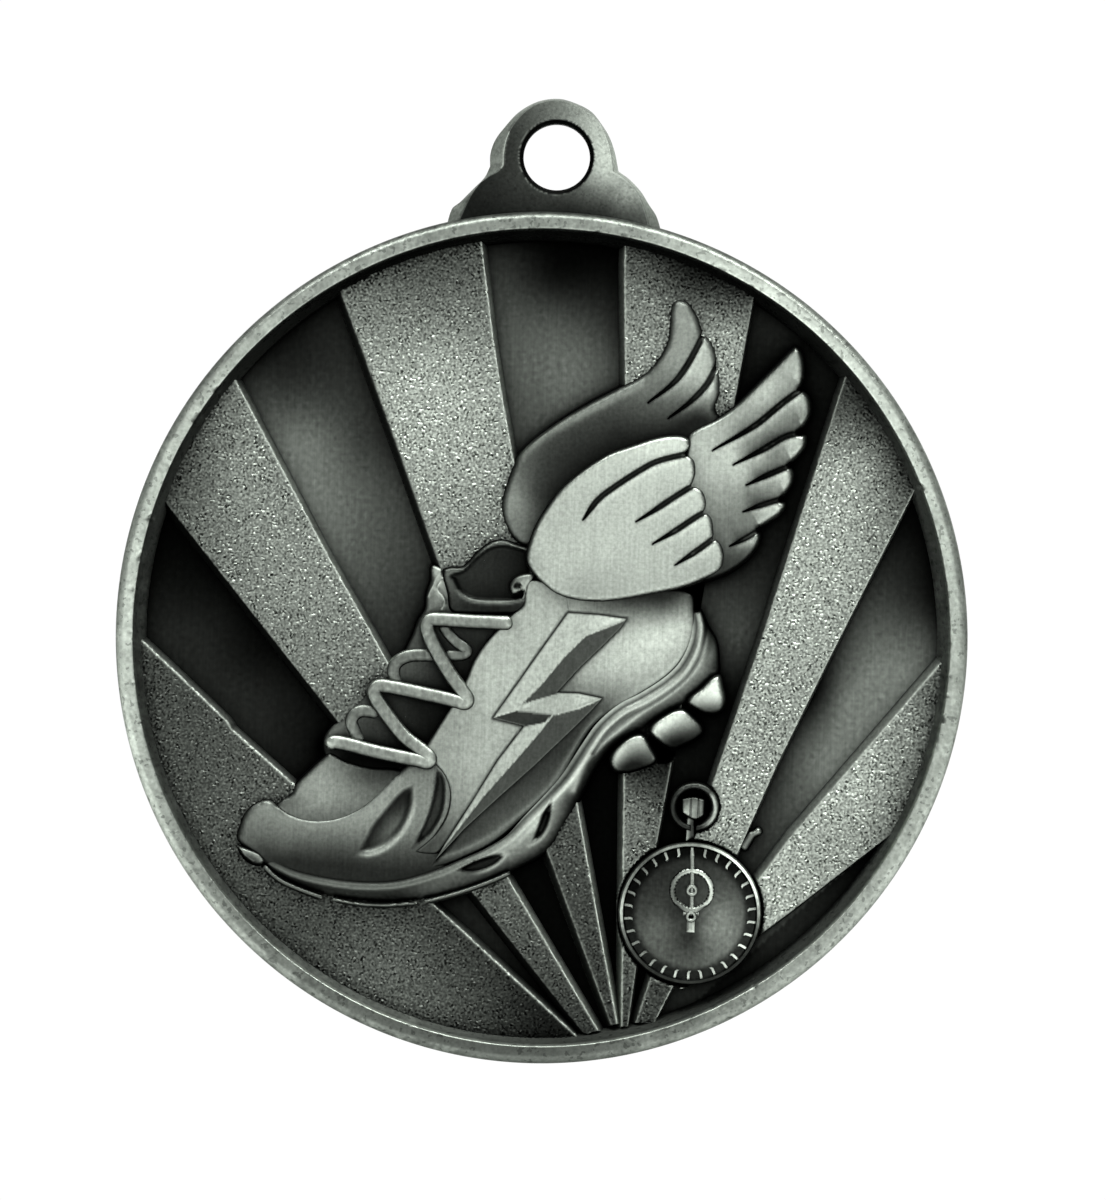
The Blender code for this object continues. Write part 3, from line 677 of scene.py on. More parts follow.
def rays():
    """The six rays of the sunburst, from left to right."""
    wide_field()
    ray(2, ([(-22.5, 7.5), (3.1, -23.0)], 0.42, 24, None),
        ([(-18.5, 14.65), (-12.95, 4.85), (-8.85, -1.95), (-1.2, -14.7),
        (4.15, -23.1)], 0.33, 150, 214),
        [(-18.5, 9, 128), (-14.5, 2.5, 132), (-12, -3, 112), (-20.5, 9, 90), (-0.5, -18, 78),
         (-2, -16.3, 86), (1, -19.5, 72), (3, -22, 60), (-10, -5, 96)])
    ray(3, ([(-12.55, 20.25), (-10, 13.9), (-8.6, 10.4), (-6.2, 4.3), (0.97, -13.1), (4.8, -22.6)],
            0.42, 30, 105),
        ([(-4.3, 23.3), (-3.4, 17.5), (-2.75, 14), (-2.0, 10.5), (2.5, -10.2), (3.8, -16.3),
          (5.15, -22.5)], 0.3, 170, 216),
        [(-9.5, 18, 130), (-6.5, 15, 166), (-5, 10, 156), (-4.5, 6.5, 134), (-7.5, 20.8, 90),
         (-4.6, 21.5, 90), (2, -13, 74), (3.2, -17, 66), (4.3, -20.5, 60),
         (-3.6, 5.2, 120)])
    ray(4, ([(4.15, 23.4), (4.2, 21), (4.45, 15), (5.1, -9.1), (5.2, -14),
        (5.4, -22.8)], 0.36, 92, 170),
        ([(11.9, 21.0), (10.88, 14.2), (7.7, -8.1), (7.1, -12), (6.15, -19.1), (5.76, -22.7)],
         0.14, 70, 125),
        [(6, 20.5, 104), (8, 21.5, 44), (5.5, 17.5, 136), (10.5, 18, 150), (11, 20.6, 60),
         (10.3, 15.5, 150),
         (9, 2.5, 20), (8.4, -2, 20), (7.2, -6.4, 22), (5.8, -9.3, 96), (6.3, -8, 50),
         (6.2, -11.5, 104),
         (5.9, -18.8, 88), (5.5, -22, 56)])
    ray(5, ([(17.65, 17.0), (12.8, 0), (10.25, -8.4), (6.96, -19.9), (6.2, -22.5)], 0.34, 104, 140),
        ([(22.1, 10.4), (17, -0.5), (14.04, -7), (12, -12), (8.35, -20.2), (7.3, -22.4)],
         0.14, 90, 165),
        [(17.6, 14.6, 60), (18.5, 10.5, 146), (17, 6, 164), (15, 0, 158), (13, -5.5, 150),
         (11.5, -9.5, 158), (20.8, 10.4, 70), (8, -21, 62), (7, -21.6, 70)])
    ray(6, ([(24.0, -0.1), (15, -11.2), (13.1, -13.9), (8.5, -20)], 0.46, 108, 168),
        ([(21.9, -10.0), (15, -15.7), (13.6, -16.8), (8.8, -20.4)], 0.12, 60, 120),
        [(21.5, -4, 130), (19, -8.3, 165), (16.5, -11.5, 154), (14.5, -14, 168), (21.6, -8.5, 110),
         (22.8, -2.6, 95)])


# ---------------------------------------------------------------- the web with its valleys and back
VALLEYS = (  # the turn where each begins, degrees from straight up about CONVERGE, and its greys: patina with painted shade below the walls that face down
    (-70, [(-20, -5, 24), (-21, -4.5, 22), (-19, -5.2, 24)]),
    (-50.6, [(-22, 3.5, 16), (-20, -0.5, 34), (-16.5, -4, 33), (-17, -1.5, 19), (-13.5, -7.5, 22),
             (-12.3, -5.9, 18), (1, -21.3, 12), (-2.6, -18.0, 34), (-18.5, 2.6, 14)]),
    (-31.4, [(-15.5, 18, 22), (-15.5, 15, 36), (-14.5, 13, 66), (-14, 11, 100), (-12, 8, 92),
             (-11.5, 11, 62),
             (-9.8, 3.5, 66), (-8.4, 0.8, 44), (-13, 17.3, 34), (-10, 11, 46), (0, -15.3, 14),
             (3.1, -20.5, 14)]),
    (-11.7, [(0, 22.3, 14), (0, 21, 22), (0, 18.5, 72), (0.5, 15, 90), (-3.5, 19.5, 62),
             (2.4, 17, 76), (3.4, 17.5, 52),
             (-1.4, 14, 72), (-2.9, 20.5, 56), (3.6, -9, 12), (4.5, -17, 12)]),
    (7.6, [(13.8, 18.3, 34), (12.8, 16.3, 24), (15.8, 14.5, 22), (13.4, 5, 30), (12, 2.6, 46),
           (11.3, 0.5, 60), (11.7, -2.8, 22), (8.4, -7.6, 20), (6.4, -20.8, 12)]),
    (25.3, [(22.1, 6.5, 18), (20.4, 5, 34), (18.8, 3.5, 46), (21.5, 1.3, 66), (19.5, 0, 88),
            (18, -3.2, 104), (16, -6.6, 88), (14.8, -9, 66), (13.4, -11.4, 50), (16.4, -2.8, 26),
            (17, -0.6, 42),
            (13.8, -6.8, 36), (22.7, 2.5, 30), (12.6, -9.8, 40)]),
    (47.0, [(20, -12.5, 20), (17, -14.9, 34), (14.5, -17.5, 38), (13, -19, 30), (10, -21.5, 30)]),
)


def valley_patina_and_shade(p):
    """The patina between the rays, darker below the walls that face down as painted shade."""
    turn = np.degrees(np.arctan2(p[:, 0] - CONVERGE[0], p[:, 1] - CONVERGE[1]))
    grey = np.full(len(p), 22.0)
    for k, (start, places) in enumerate(VALLEYS):
        end = VALLEYS[k + 1][0] if k + 1 < len(VALLEYS) else 180
        here = (turn >= start) & (turn < end)
        grey[here] = paint(p[here], places, spread=1.2)
    return grey


def web():
    """The thin web: brushed valleys in front, a brushed plain panel behind."""
    def shape(p):
        return np.full(len(p), GROUND), valley_patina_and_shade(p) * (1 + 0.05 * CLUMPS(p))
    Relief("brushed_web", "medal_disc", "brushed_ground", arc((0, 0), UNDER_RIM_R, 0, 360, 0.2),
           shape, back=BACK, pitch=WEB_PITCH, rings=(), back_grey=128)

# ---------------------------------------------------------------- wings
def wings():
    """The far wing behind, and the near wing: long feathers under a shoulder."""
    figure("far_wing", "far_wing", "wing_shade", curve([
        (-1.2, 5.2), (-2.1, 5.9), (-2.7, 7.5), (-2.45, 9), (-1.67, 10.85), (0, 12.4), (2.06, 13.8),
        (4.04, 14.9), (5.3, 15.6), (6.15, 16.5), (6.7, 17.6), (6.82, 18.6), (6.84, 19.5), (7.05, 20.0),
        (7.55, 20.18), (8.1, 19.95), (8.55, 19.35), (8.82, 18.75),
        (8.95, 18.25, 1), (9.6, 17.5), (9.98, 16.2), (10.1, 14.65), (9.9, 13.75), (10.2, 13.1),
        (8.4, 11), (3, 8.5), (0.5, 5.5)]), 1.22, 0.55,
        [(-1.9, 8, 140), (-2.2, 9.2, 122), (-1.9, 6.4, 112), (-0.6, 8.4, 60), (-1.2, 10, 84),
         (0.5, 11, 56), (2.5, 12.3, 58), (5, 13.2, 66), (4, 12, 40), (7, 12.4, 42), (9, 13.2, 36),
         (5.6, 14.5, 100), (6.6, 15.6, 126), (7.4, 17.4, 150), (7.7, 19, 146), (8.5, 16.4, 186),
         (9.3, 17, 186), (8.2, 14.7, 150), (9.3, 15.3, 204), (9.3, 14, 120), (-2.4, 8, 124)],
        groove([(5.8, 13.95), (7.3, 15.2), (8.1, 16.35), (8.9, 18.0)], 0.38, 0.18, 52, 0.45, 0.3),
        groove([(7.05, 13.1), (8.3, 14.1), (9.26, 15.2), (9.95, 16.7)], 0.38, 0.18, 52, 0.45, 0.3),
        ridge([(-1.7, 10.5), (-0.9, 11.3), (0.1, 12.1), (2.06, 13.25), (4.04, 14.35), (5.3, 15.1)],
              0.28, 0.06, 150, 0.8),
        edge_shading_grey=44, edge_reach=0.2)
    figure("near_wing_primaries", "near_wing_feathers", "wing", curve([
        (8.0, 11.5), (8.2, 12.3), (9.9, 13.3), (10.95, 14.1), (12.2, 15.4), (13.4, 16.7), (13.95, 17.3),
        (14.3, 17.6), (14.65, 17.45), (14.87, 17.0), (14.98, 16.4), (14.97, 15.7),
        (14.78, 15.1, 1), (15.3, 14.6), (15.45, 13.8), (15.25, 13.1),
        (14.75, 12.5, 1), (15.2, 12.3), (15.1, 11.5), (14.3, 10.56, 1), (14.55, 10.1), (14.45, 9.4),
        (13.84, 8.5, 1), (14.15, 8.25), (13.8, 7.6), (13.2, 7.15), (12.6, 6.75, 1), (12.72, 6.3),
        (12.5, 5.6), (11.9, 4.8), (10.6, 3.9), (9, 3.6), (7.5, 6)]), 1.42, 0.42,
        [(9.8, 12.3, 206), (11.5, 13.9, 206), (13.5, 16.2, 190), (14.5, 16.4, 196), (12.6, 14.6, 238),
         (10.6, 11.2, 220), (12.8, 13.0, 206), (14.6, 14.3, 206), (14.6, 13.5, 150),
         (13.1, 11.5, 140), (14.7, 12.0, 214), (12, 7.5, 146), (12.6, 10.9, 200), (11.2, 9.9, 204),
         (13.4, 9.8, 196), (14.1, 10.0, 214), (12, 8.9, 150), (10.7, 8.2, 154),
         (13, 8.0, 186), (13.7, 8.2, 214), (10.9, 6.8, 130), (11.9, 6.1, 180),
         (12.5, 6.35, 214), (11.7, 5.2, 84), (10.6, 4.6, 60), (9.6, 10.2, 200), (12.2, 5.5, 100)],
        groove([(9.7, 11.3), (12.1, 12.8), (13.6, 14.1),
        (14.8, 15.05)], 0.38, 0.22, 78, 0.45, 0.5, 0.7),
        groove([(10.95, 10.5), (12.6, 11.4), (13.9, 12.2),
        (14.9, 12.5)], 0.38, 0.22, 78, 0.45, 0.75, 0.7),
        groove([(11.7, 9.3), (12.9, 9.9), (14.4, 10.6)], 0.36, 0.22, 78, 0.45, 0.75, 0.6),
        groove([(11.6, 7.75), (12.9, 8.25), (14.0, 8.6)], 0.36, 0.2, 78, 0.45, 0.75, 0.6),
        groove([(10.85, 5.7), (11.8, 6.2), (12.7, 6.8)], 0.34, 0.18, 78, 0.45, 0.75, 0.6),
        edge_shading_grey=90, edge_reach=0.14, crown=0.05, spread=0.5)
    figure("near_wing_shoulder", "near_wing_shoulder", "wing", curve([
        (-0.6, 3.5), (-1.15, 4.4), (-1.1, 5.3), (-0.47, 7), (0.94, 9), (3.3, 10.85), (5, 11.55),
        (6.4, 12.04), (7.57, 12.2), (8.3, 12), (8.5, 11.55), (8.27, 11.08, 1), (8.72, 10.7),
        (8.85, 9.9), (8.7, 9.3, 1), (9.25, 8.95), (9.52, 8.3), (9.5, 7.75, 1), (9.88, 7.3),
        (10.05, 6.3, 1), (10.5, 5.77), (10.67, 5.06), (10.4, 4.2), (9.26, 3.5), (8, 3), (6.6, 2.66),
        (4.5, 2.2), (3.05, 2.05), (1.64, 2.17), (0.65, 2.5), (-0.05, 3)]), 1.66, 0.34,
        [(1.5, 7, 200), (3, 9, 212), (5, 11, 230), (6.5, 11, 250), (7.5, 11.7, 244),
         (1, 4.5, 206), (4, 5.5, 208),
         (7, 9.3, 210), (8.3, 10.2, 226), (8.9, 8.4, 226), (9.4, 6.9, 226), (10.2, 5.4, 222),
         (5, 3.2, 188), (8.5, 3.8, 190), (-0.4, 5, 196), (-0.75, 4.2, 170), (9.8, 4.3, 178),
         (8.2, 6.0, 208), (2.2, 2.7, 170), (0.2, 3.4, 190)],
        groove([(2.2, 6.95), (3.05, 8.17), (4.2, 9.1), (5.3, 9.86), (6.4, 10.5), (8.4, 11.08)],
               0.36, 0.2, 96, 0.12, 0.2, 0.3),
        groove([(5.3, 6.95), (6.4, 7.67), (7.57, 8.5), (8.85, 9.35)], 0.36, 0.2, 96, 0.4, 0.2, 0.3),
        groove([(6.35, 5.7), (7.7, 6.54), (8.7, 7.25), (9.55, 7.78)], 0.36, 0.2, 96, 0.4, 0.2, 0.3),
        groove([(7.7, 4.5), (8.98, 5.4), (10.1, 6.28)], 0.36, 0.2, 96, 0.4, 0.2, 0.3),
        edge_shading_grey=150, edge_reach=0.12, crown=0.1)


# ---------------------------------------------------------------- shoe
BOLT = [(1.5, 1.5), (3.2, 1.44), (4.95, 1.26), (4.6, 0.72), (3.54, -0.4), (2.26, -1.7), (0.97, -3.2),
        (2.26, -3.2), (3.65, -3.45), (3.1, -4.1), (2.26, -5), (-0.3, -7.6), (-2.2, -9.4),
        (-4.15, -11.3),
        (-5.8, -13.2), (-5.24, -12.2), (-3.8, -9.8), (-2.36, -7.3), (-0.85, -5.2), (-2.7, -4.8),
        (-1.3, -2.7), (-0.05, -0.8)]
BOLT_RIDGES = ([(4.8, 1.05), (2.6, 0.1), (1.36, -1.2), (0.2, -2.7), (-0.9, -4.0)],
               [(-2.5, -4.78), (-1.2, -4.35), (0.7, -4.5), (2.26, -4.1), (3.5, -3.52)],
               [(0.85, -4.6), (-0.05, -5.8), (-1.6, -7.7), (-3.1, -9.5), (-5.5, -12.8)])
BOLT_OUTLINE = ccw(curve(cornered(BOLT)))


def moat(p, h, grey):
    """The dark seam that the bolt sits in."""
    k = np.exp(-((nearest(p, BOLT_OUTLINE, True)[0] / 0.11) ** 2))
    h -= 0.07 * k
    grey += (62 - grey) * k


def bolt():
    """The flash on the shoe's side: facets that meet in ridges."""
    ridges = [curve(cornered(line), closed=False) for line in BOLT_RIDGES]

    def shape(p):
        edge = nearest(p, BOLT_OUTLINE, True)[0]
        crest = np.min([nearest(p, line)[0] for line in ridges], 0)
        h = 1.5 + 0.27 * edge / np.maximum(edge + crest, 0.8)
        grey = 205 + 5 * GRAIN(p)
        # painted light and shade on the facets: those turned from the light painted dark, one painted
        # bright
        for places, value in (
                ([(4.95, 1.15), (4.6, 0.72), (3.54, -0.4), (2.26, -1.7), (0.97, -3.2), (0.3, -3.5),
                  (-1.0, -3.95), (0.2, -2.7), (1.36, -1.2), (2.6, 0.1)], 72),
                ([(-2.7, -4.85), (-1.3, -4.37), (0.7, -4.5), (0.3, -4.95), (-0.8, -5.2)], 52),
                ([(3.7, -3.5), (2.26, -4.15), (0.85, -4.6), (-0.05, -5.8), (-1.6, -7.7), (-3.1, -9.5),
                  (-5.6, -12.9), (-4.0, -11.3), (-2.2, -9.4), (-0.3, -7.6), (2.26, -5)], 70),
                ([(-1.0, -3.95), (0.3, -3.5), (1.74, -3.3), (3.5, -3.5), (2.2, -4.1), (0.85, -4.5),
                  (-1.2, -4.3)], 186)):
            facet(places, value)(p, h, grey)
        grey += (95 - grey) * np.clip(1 - edge / 0.08, 0, 1)
        return h, grey
    Relief("bolt_flash", "shoe_flash_panel", "shoe", BOLT_OUTLINE, shape, back=0.9,
           pitch=SMOOTH * 0.8, rings=(0.05, 0.11), lines=ridges, slope_shade=BOLT_SLOPE_SHADE)


def uppers():
    """The vamp, toe guard, heel panel and quarter, with the bolt on top."""
    figure("vamp", "shoe_vamp", "shoe", curve([
        (-15.1, -9.95), (-14.5, -9.55), (-14.25, -9.0), (-13.5, -8.2), (-12.65, -7.35), (-12.2, -7.0),
        (-11.2, -7.45), (-9.8, -7.75), (-8.2, -7.8), (-7.4, -8.2), (-8.8, -9.6), (-10, -10.6),
        (-11.2, -11.3), (-12.4, -11.6), (-13.6, -11.5), (-14.8, -11.0), (-15.4, -10.4)]), 1.12, 0.4,
        [(-13.3, -9.0, 158), (-12.2, -8.2, 146), (-12.8, -10.0, 150), (-10.8, -9.6, 128),
         (-9.2, -9, 84), (-14.6, -10.1, 116), (-11, -8.2, 104), (-9.8, -8.4, 70), (-8.4, -8.3, 56),
         (-13, -10.95, 96), (-11.3, -10.6, 104)],
        edge_shading_grey=60, edge_reach=0.2, crown=0.2, crown_width=1.0, spread=0.7)
    figure("toe_guard", "shoe_toe_guard", "shoe", curve([
        (-15.64, -9.95), (-16.4, -10.15), (-17.05, -10.75), (-17.4, -11.6), (-17.5, -12.4),
        (-16.6, -13.2), (-15.6, -13.95), (-14, -14.6), (-12, -15.1), (-10, -15.2), (-8, -15),
        (-5.3, -14.2), (-5.0, -13.3), (-5.6, -12.3), (-5.4, -11.6), (-4.8, -10.5), (-4.6, -9.2),
        (-4.9, -8.0), (-5.7, -7.2),
        (-7.2, -7.2), (-8.2, -8.1), (-9.1, -9.05), (-10, -9.95), (-11, -10.6), (-12.05, -10.95),
        (-13.3, -11.02), (-14.4, -10.75), (-15.05, -10.35)]), 1.24, 0.5,
        [(-16.5, -10.9, 128), (-15, -11.3, 132), (-13, -11.8, 126), (-11, -11.4, 140),
         (-16.9, -12, 104), (-15, -12.4, 96), (-12, -12.5, 84), (-16, -13, 58), (-14, -13.3, 50),
         (-12.5, -13.1, 62), (-11, -13.7, 44), (-8.5, -13.7, 50), (-6, -13.3, 56), (-9.6, -10.2, 158),
         (-8.4, -8.7, 146),
         (-7.2, -8.1, 128), (-6.7, -9.2, 136), (-7.0, -11.6, 122), (-7.9, -12.9, 74),
         (-5.6, -12.2, 104), (-10.6, -12.2, 104), (-6.9, -10.5, 132)],
        ridge([(-15.9, -10.15), (-15, -10.55), (-14.3, -10.95), (-13.3, -11.2), (-12.05, -11.15),
               (-11, -10.8), (-10, -10.2), (-9.1, -9.3), (-8.3, -8.45)], 0.2, 0.07, 150, 0.6),
        recess([(-7.2, -8.75, 1), (-7.95, -9.15), (-8.85, -10.2), (-9.6, -11.2), (-10.1, -12.2),
                (-10.5, -12.95, 1), (-9.6, -12.95), (-8.6, -12.45), (-7.75, -11.5), (-7.25, -10.2)],
               0.24, 0.5, lambda p: paint(p, [(-8.6, -10.3, 40), (-9.3, -11.2, 40), (-9.9, -12.2, 44),
                                              (-7.6, -9.4, 40), (-8, -10.8, 96), (-8.8, -12, 104),
                                              (-8.4, -11.3, 108)], spread=0.15), 186),
        recess([(-5.95, -7.75, 1), (-5.45, -8.3), (-5.3, -9.3), (-5.45, -10.5), (-6.0, -11.6),
                (-6.8, -12.4), (-7.5, -12.95, 1), (-7.0, -12.0), (-6.45, -10.7), (-6.1, -9.3)],
               0.24, 0.3, 74),
        edge_shading_grey=100, edge_reach=0.12, crown=0.12, crown_width=1.5, spread=0.7, foot=0.8)
    figure("heel_panel", "shoe_heel_panel", "shoe", curve([
        (0.2, 3.3), (5, 3.4), (8.6, 2.9), (8.9, 1.8), (8.95, 0.9), (8.7, -0.3), (8.0, -1.5),
        (6.9, -2.5), (5.4, -3.5), (4.2, -4.3), (3.2, -5.2), (2.4, -6.5), (1.6, -8.1), (0.6, -9.3),
        (-0.7, -10.6), (-2.4, -12.1), (-4.2, -13.1), (-5.4, -13.6), (-6.2, -13.75, 1),
        (-5.9, -13.1), (-4.8, -11.6), (-3.2, -9), (-1.5, -6.4), (-1.2, -4.6), (0, -2), (0.6, 1.5)]),
        1.4, 0.5,
        [(6, 0.6, 212), (4.5, -0.6, 208), (7.6, 0.5, 226), (6.5, -1.2, 200), (4.2, -2, 186),
         (2.6, -2.4, 160), (5, -2.7, 158), (3.3, -3.4, 112), (3.6, -4.2, 70), (2, -5.6, 58),
         (1, -6.8, 56), (-0.5, -8.4, 60), (-2, -10, 66), (-3.6, -11.6, 66), (1.5, -7.4, 70),
         (0.1, -9.2, 88), (-1.8, -11, 92), (-3.5, -12.4, 84), (-5.4, -13.3, 56), (4.5, 1.9, 104),
         (7, 1.95, 90), (3, 1.9, 130), (8.3, 1.3, 196), (8.3, -0.6, 180), (1.8, 2.1, 160),
         (5, 2.4, 60), (7.5, 2.6, 50)],
        ridge([(3.6, -4.3), (2.7, -5.4), (1.75, -7.0), (0.7, -8.7), (-0.6, -10.0), (-2.4, -11.5),
               (-4.2, -12.55), (-5.6, -13.1)], 0.16, 0.04, 124, 0.7),
        moat, edge_shading_grey=80, edge_reach=0.14, crown=0.06, spread=0.7, foot=1.12)
    figure("quarter", "shoe_quarter", "shoe", curve([
        (0.6, 3.3), (-0.9, 3.35), (-1.15, 2.6), (-1.2, 1.9), (-1.9, 1.25), (-3.2, -0.2), (-4, -1.5),
        (-4.45, -2.7), (-5.1, -3.9), (-5.85, -5.2), (-6.75, -6.75, 1), (-6.2, -7.5), (-5.5, -8.3),
        (-5.15, -9.3), (-5.32, -10.6), (-5.95, -11.7), (-6.7, -12.4), (-7.2, -12.8, 1), (-6.5, -12.95),
        (-5.5, -12.8), (-4.2, -10.9), (-2.9, -8.9), (-1.2, -6.2), (-0.3, -4.8), (-1.4, -4.4),
        (-0.8, -3.0), (0.4, -1.2), (1.75, 1.2), (1.7, 1.9), (1.4, 2.9)]), 1.43, 0.22,
        [(-0.3, 2.4, 176), (-1.8, 0, 182), (-3, -1.8, 192), (-2.8, -3.8, 188), (-4, -5, 168),
         (-3.5, -6.5, 178), (-5, -7.2, 164), (-4.6, -9, 154), (-3.5, -9, 162), (-4.9, -11.2, 110),
         (-6, -12.3, 76), (-6.5, -12.8, 66), (0.5, 0.6, 188), (-1, -1.6, 186), (-5.3, -11.9, 84),
         (1.4, 2.2, 162), (0.8, 2.6, 150)],
        ridge([(-5.5, -8.5), (-5.15, -9.3), (-5.3, -10.6), (-5.95, -11.75), (-7.0, -12.65)],
              0.12, 0.03, 196, 0.8),
        moat, edge_shading_grey=150, edge_reach=0.1, crown=0.05, spread=0.7, foot=0.85)
    bolt()


def collar_and_tongue():
    """The padded collar round the shoe's mouth, its small lip, and the tongue."""
    opening = curve([(-5.55, 3.5), (-4.75, 3.85), (-4, 4.65), (-3.2, 5.25), (-2.4, 5.42), (-1.5, 5.25),
                     (-0.9, 5.0), (-0.9, 2.5), (-1.7, 2.05), (-2.9, 1.95), (-4.1, 2.02), (-4.85, 2.4),
                     (-5.3, 3.1)])

    def bowl(p, h, grey):
        near = nearest(p, opening, True)[0]
        k = np.where(inside(p, opening), 1, 0)
        h -= k * 0.3 * ease(near / 0.3)
        # the floor of the shoe's mouth painted dark as shade
        floor_grey = paint(p, [(-3, 3.5, 46), (-3.2, 2.4, 36), (-2, 4.7, 40), (-4.4, 3.2, 50)])
        grey += k * (floor_grey - grey) * np.clip(near / 0.1, 0, 1)
        # a painted highlight along the mouth's lower lip
        rim = np.exp(-((near - 0.05) / 0.08) ** 2) * (p[:, 1] < 2.7)
        grey += (118 - grey) * rim
    figure("collar", "shoe_collar", "shoe", curve([
        (-6.0, 3.75), (-5.5, 4.05), (-4.8, 4.12), (-4, 4.97), (-3.26, 5.55), (-2.5, 5.76), (-1.6, 5.52),
        (-0.7, 5.1), (-0.4, 3), (-1.2, 1.4), (-2.4, 1.2), (-4.2, 1.15), (-5.4, 1.3), (-5.7, 2.4)]),
        1.3, 0.3,
        [(-5.5, 3.8, 110), (-4.3, 4.6, 104), (-2.8, 5.6, 118), (-1.5, 5.4, 96), (-5.2, 2, 60),
         (-3, 1.5, 34), (-2, 1.5, 40), (-4.5, 1.6, 44)], bowl, edge_shading_grey=60, edge_reach=0.12)
    figure("collar_lip", "shoe_collar", "shoe", curve([
        (-2.05, 3.0), (-1.8, 3.45), (-1.2, 3.75), (-0.5, 3.7), (-0.8, 2.9), (-1.05, 2.2), (-1.3, 2.1),
        (-1.2, 2.65), (-1.45, 2.5), (-1.85, 2.45)]), 1.5, 0.3,
        [(-1.75, 3.1, 110), (-1.3, 3.45, 150), (-1.1, 2.7, 220), (-1.05, 2.4, 225), (-0.8, 3.3, 160)],
        recess([(-1.75, 2.9), (-1.55, 3.2), (-1.25, 3.1), (-1.4, 2.75)], 0.2, 0.15, 50),
        foot=0.9, edge_shading_grey=120)
    figure("tongue", "shoe_tongue", "shoe", curve([
        (-6.65, 4.05), (-6.0, 4.0), (-5.6, 3.55), (-5.25, 2.9), (-4.9, 2.3), (-4.6, 1.2), (-2.2, 0.9),
        (-3.0, -1.0), (-3.9, -3.0), (-5.2, -5), (-6.3, -7.2), (-9, -8.3), (-12.3, -7.6),
        (-12.75, -6.6), (-12.3, -5.6),
        (-11.7, -5.1), (-10.2, -3.4), (-8.7, -2.0), (-7.75, -0.2), (-7.4, 0.8), (-7.0, 1.5),
        (-6.95, 2.4), (-6.7, 3.2)]), 0.98, 0.35,
        [(-6.1, 3, 168), (-5.7, 3.4, 196), (-6.5, 2.3, 110), (-5.8, 2.4, 160), (-6.3, 1.7, 130),
         (-7, 0.7, 92), (-7.5, -0.1, 84), (-6.6, -0.8, 60), (-5.3, -1.9, 50), (-7.1, -2.2, 74),
         (-8.6, -2.6, 80), (-7.2, -4.2, 40), (-9.5, -4.4, 66), (-8.8, -5.3, 76), (-11.5, -5.7, 96),
         (-12.2, -6.3, 110), (-10.4, -5.6, 70), (-6.8, -5.6, 34), (-11.4, -7.3, 26), (-9, -7.6, 22),
         (-4.6, -0.4, 40)],
        ridge([(-5.95, 3.95), (-6.3, 3.2), (-6.75, 2.2)], 0.08, 0.05, 190, 0.7),
        ridge([(-5.9, 3.3), (-6.2, 2.7), (-5.75, 2.0), (-5.9, 1.5)], 0.09, 0.1, 226, 0.8),
        edge_shading_grey=60, edge_reach=0.18)


# ---------------------------------------------------------------- sole
TOP_LINE = [(-15.6, -13.55), (-14, -14.2), (-12, -14.6), (-10, -14.75), (-8, -14.6), (-5.8, -13.94),
            (-4.15, -13.2), (-2.9, -12.6), (-1.6, -11.76), (-0.56, -10.67), (0.97, -9.1),
            (1.74, -8.2), (2.3, -7.3), (2.9, -6.3), (3.67, -5.15), (4.8, -4.1), (6.1, -3.36),
            (7.4, -2.46), (8.3, -1.56), (8.9, -0.4), (9.15, 0.87), (9.0, 1.85)]
LOWER_TOP_LINE = [(2.2, -8.9), (2.6, -7.9), (3, -7.1), (3.8, -6.1), (4.8, -5.25), (6.1, -4.15),
                  (7.4, -3.25), (8.5, -2.25), (9.3, -1.2), (9.65, -0.1), (9.6, 1.0), (9.35, 1.75)]
UNDER_LINE = [(9.35, 1.95), (9.8, 1.0), (10.3, 0.2), (10.5, -0.9), (10.45, -1.9), (8.8, -3.55),
              (7.55, -4.4), (6.3, -5.2), (5.0, -6.0), (4.15, -6.75), (3.5, -7.6), (2.9, -8.9),
              (2.4, -9.95), (1.74, -11.1), (1.15, -12.2), (0.3, -13.0), (-0.8, -13.6), (-1.5, -14.0),
              (-2.8, -14.6), (-4.4, -15.2), (-6.5, -15.75), (-8.9, -16.0), (-11.8, -15.75),
              (-14, -15.1), (-15.3, -14.4), (-15.9, -13.8)]


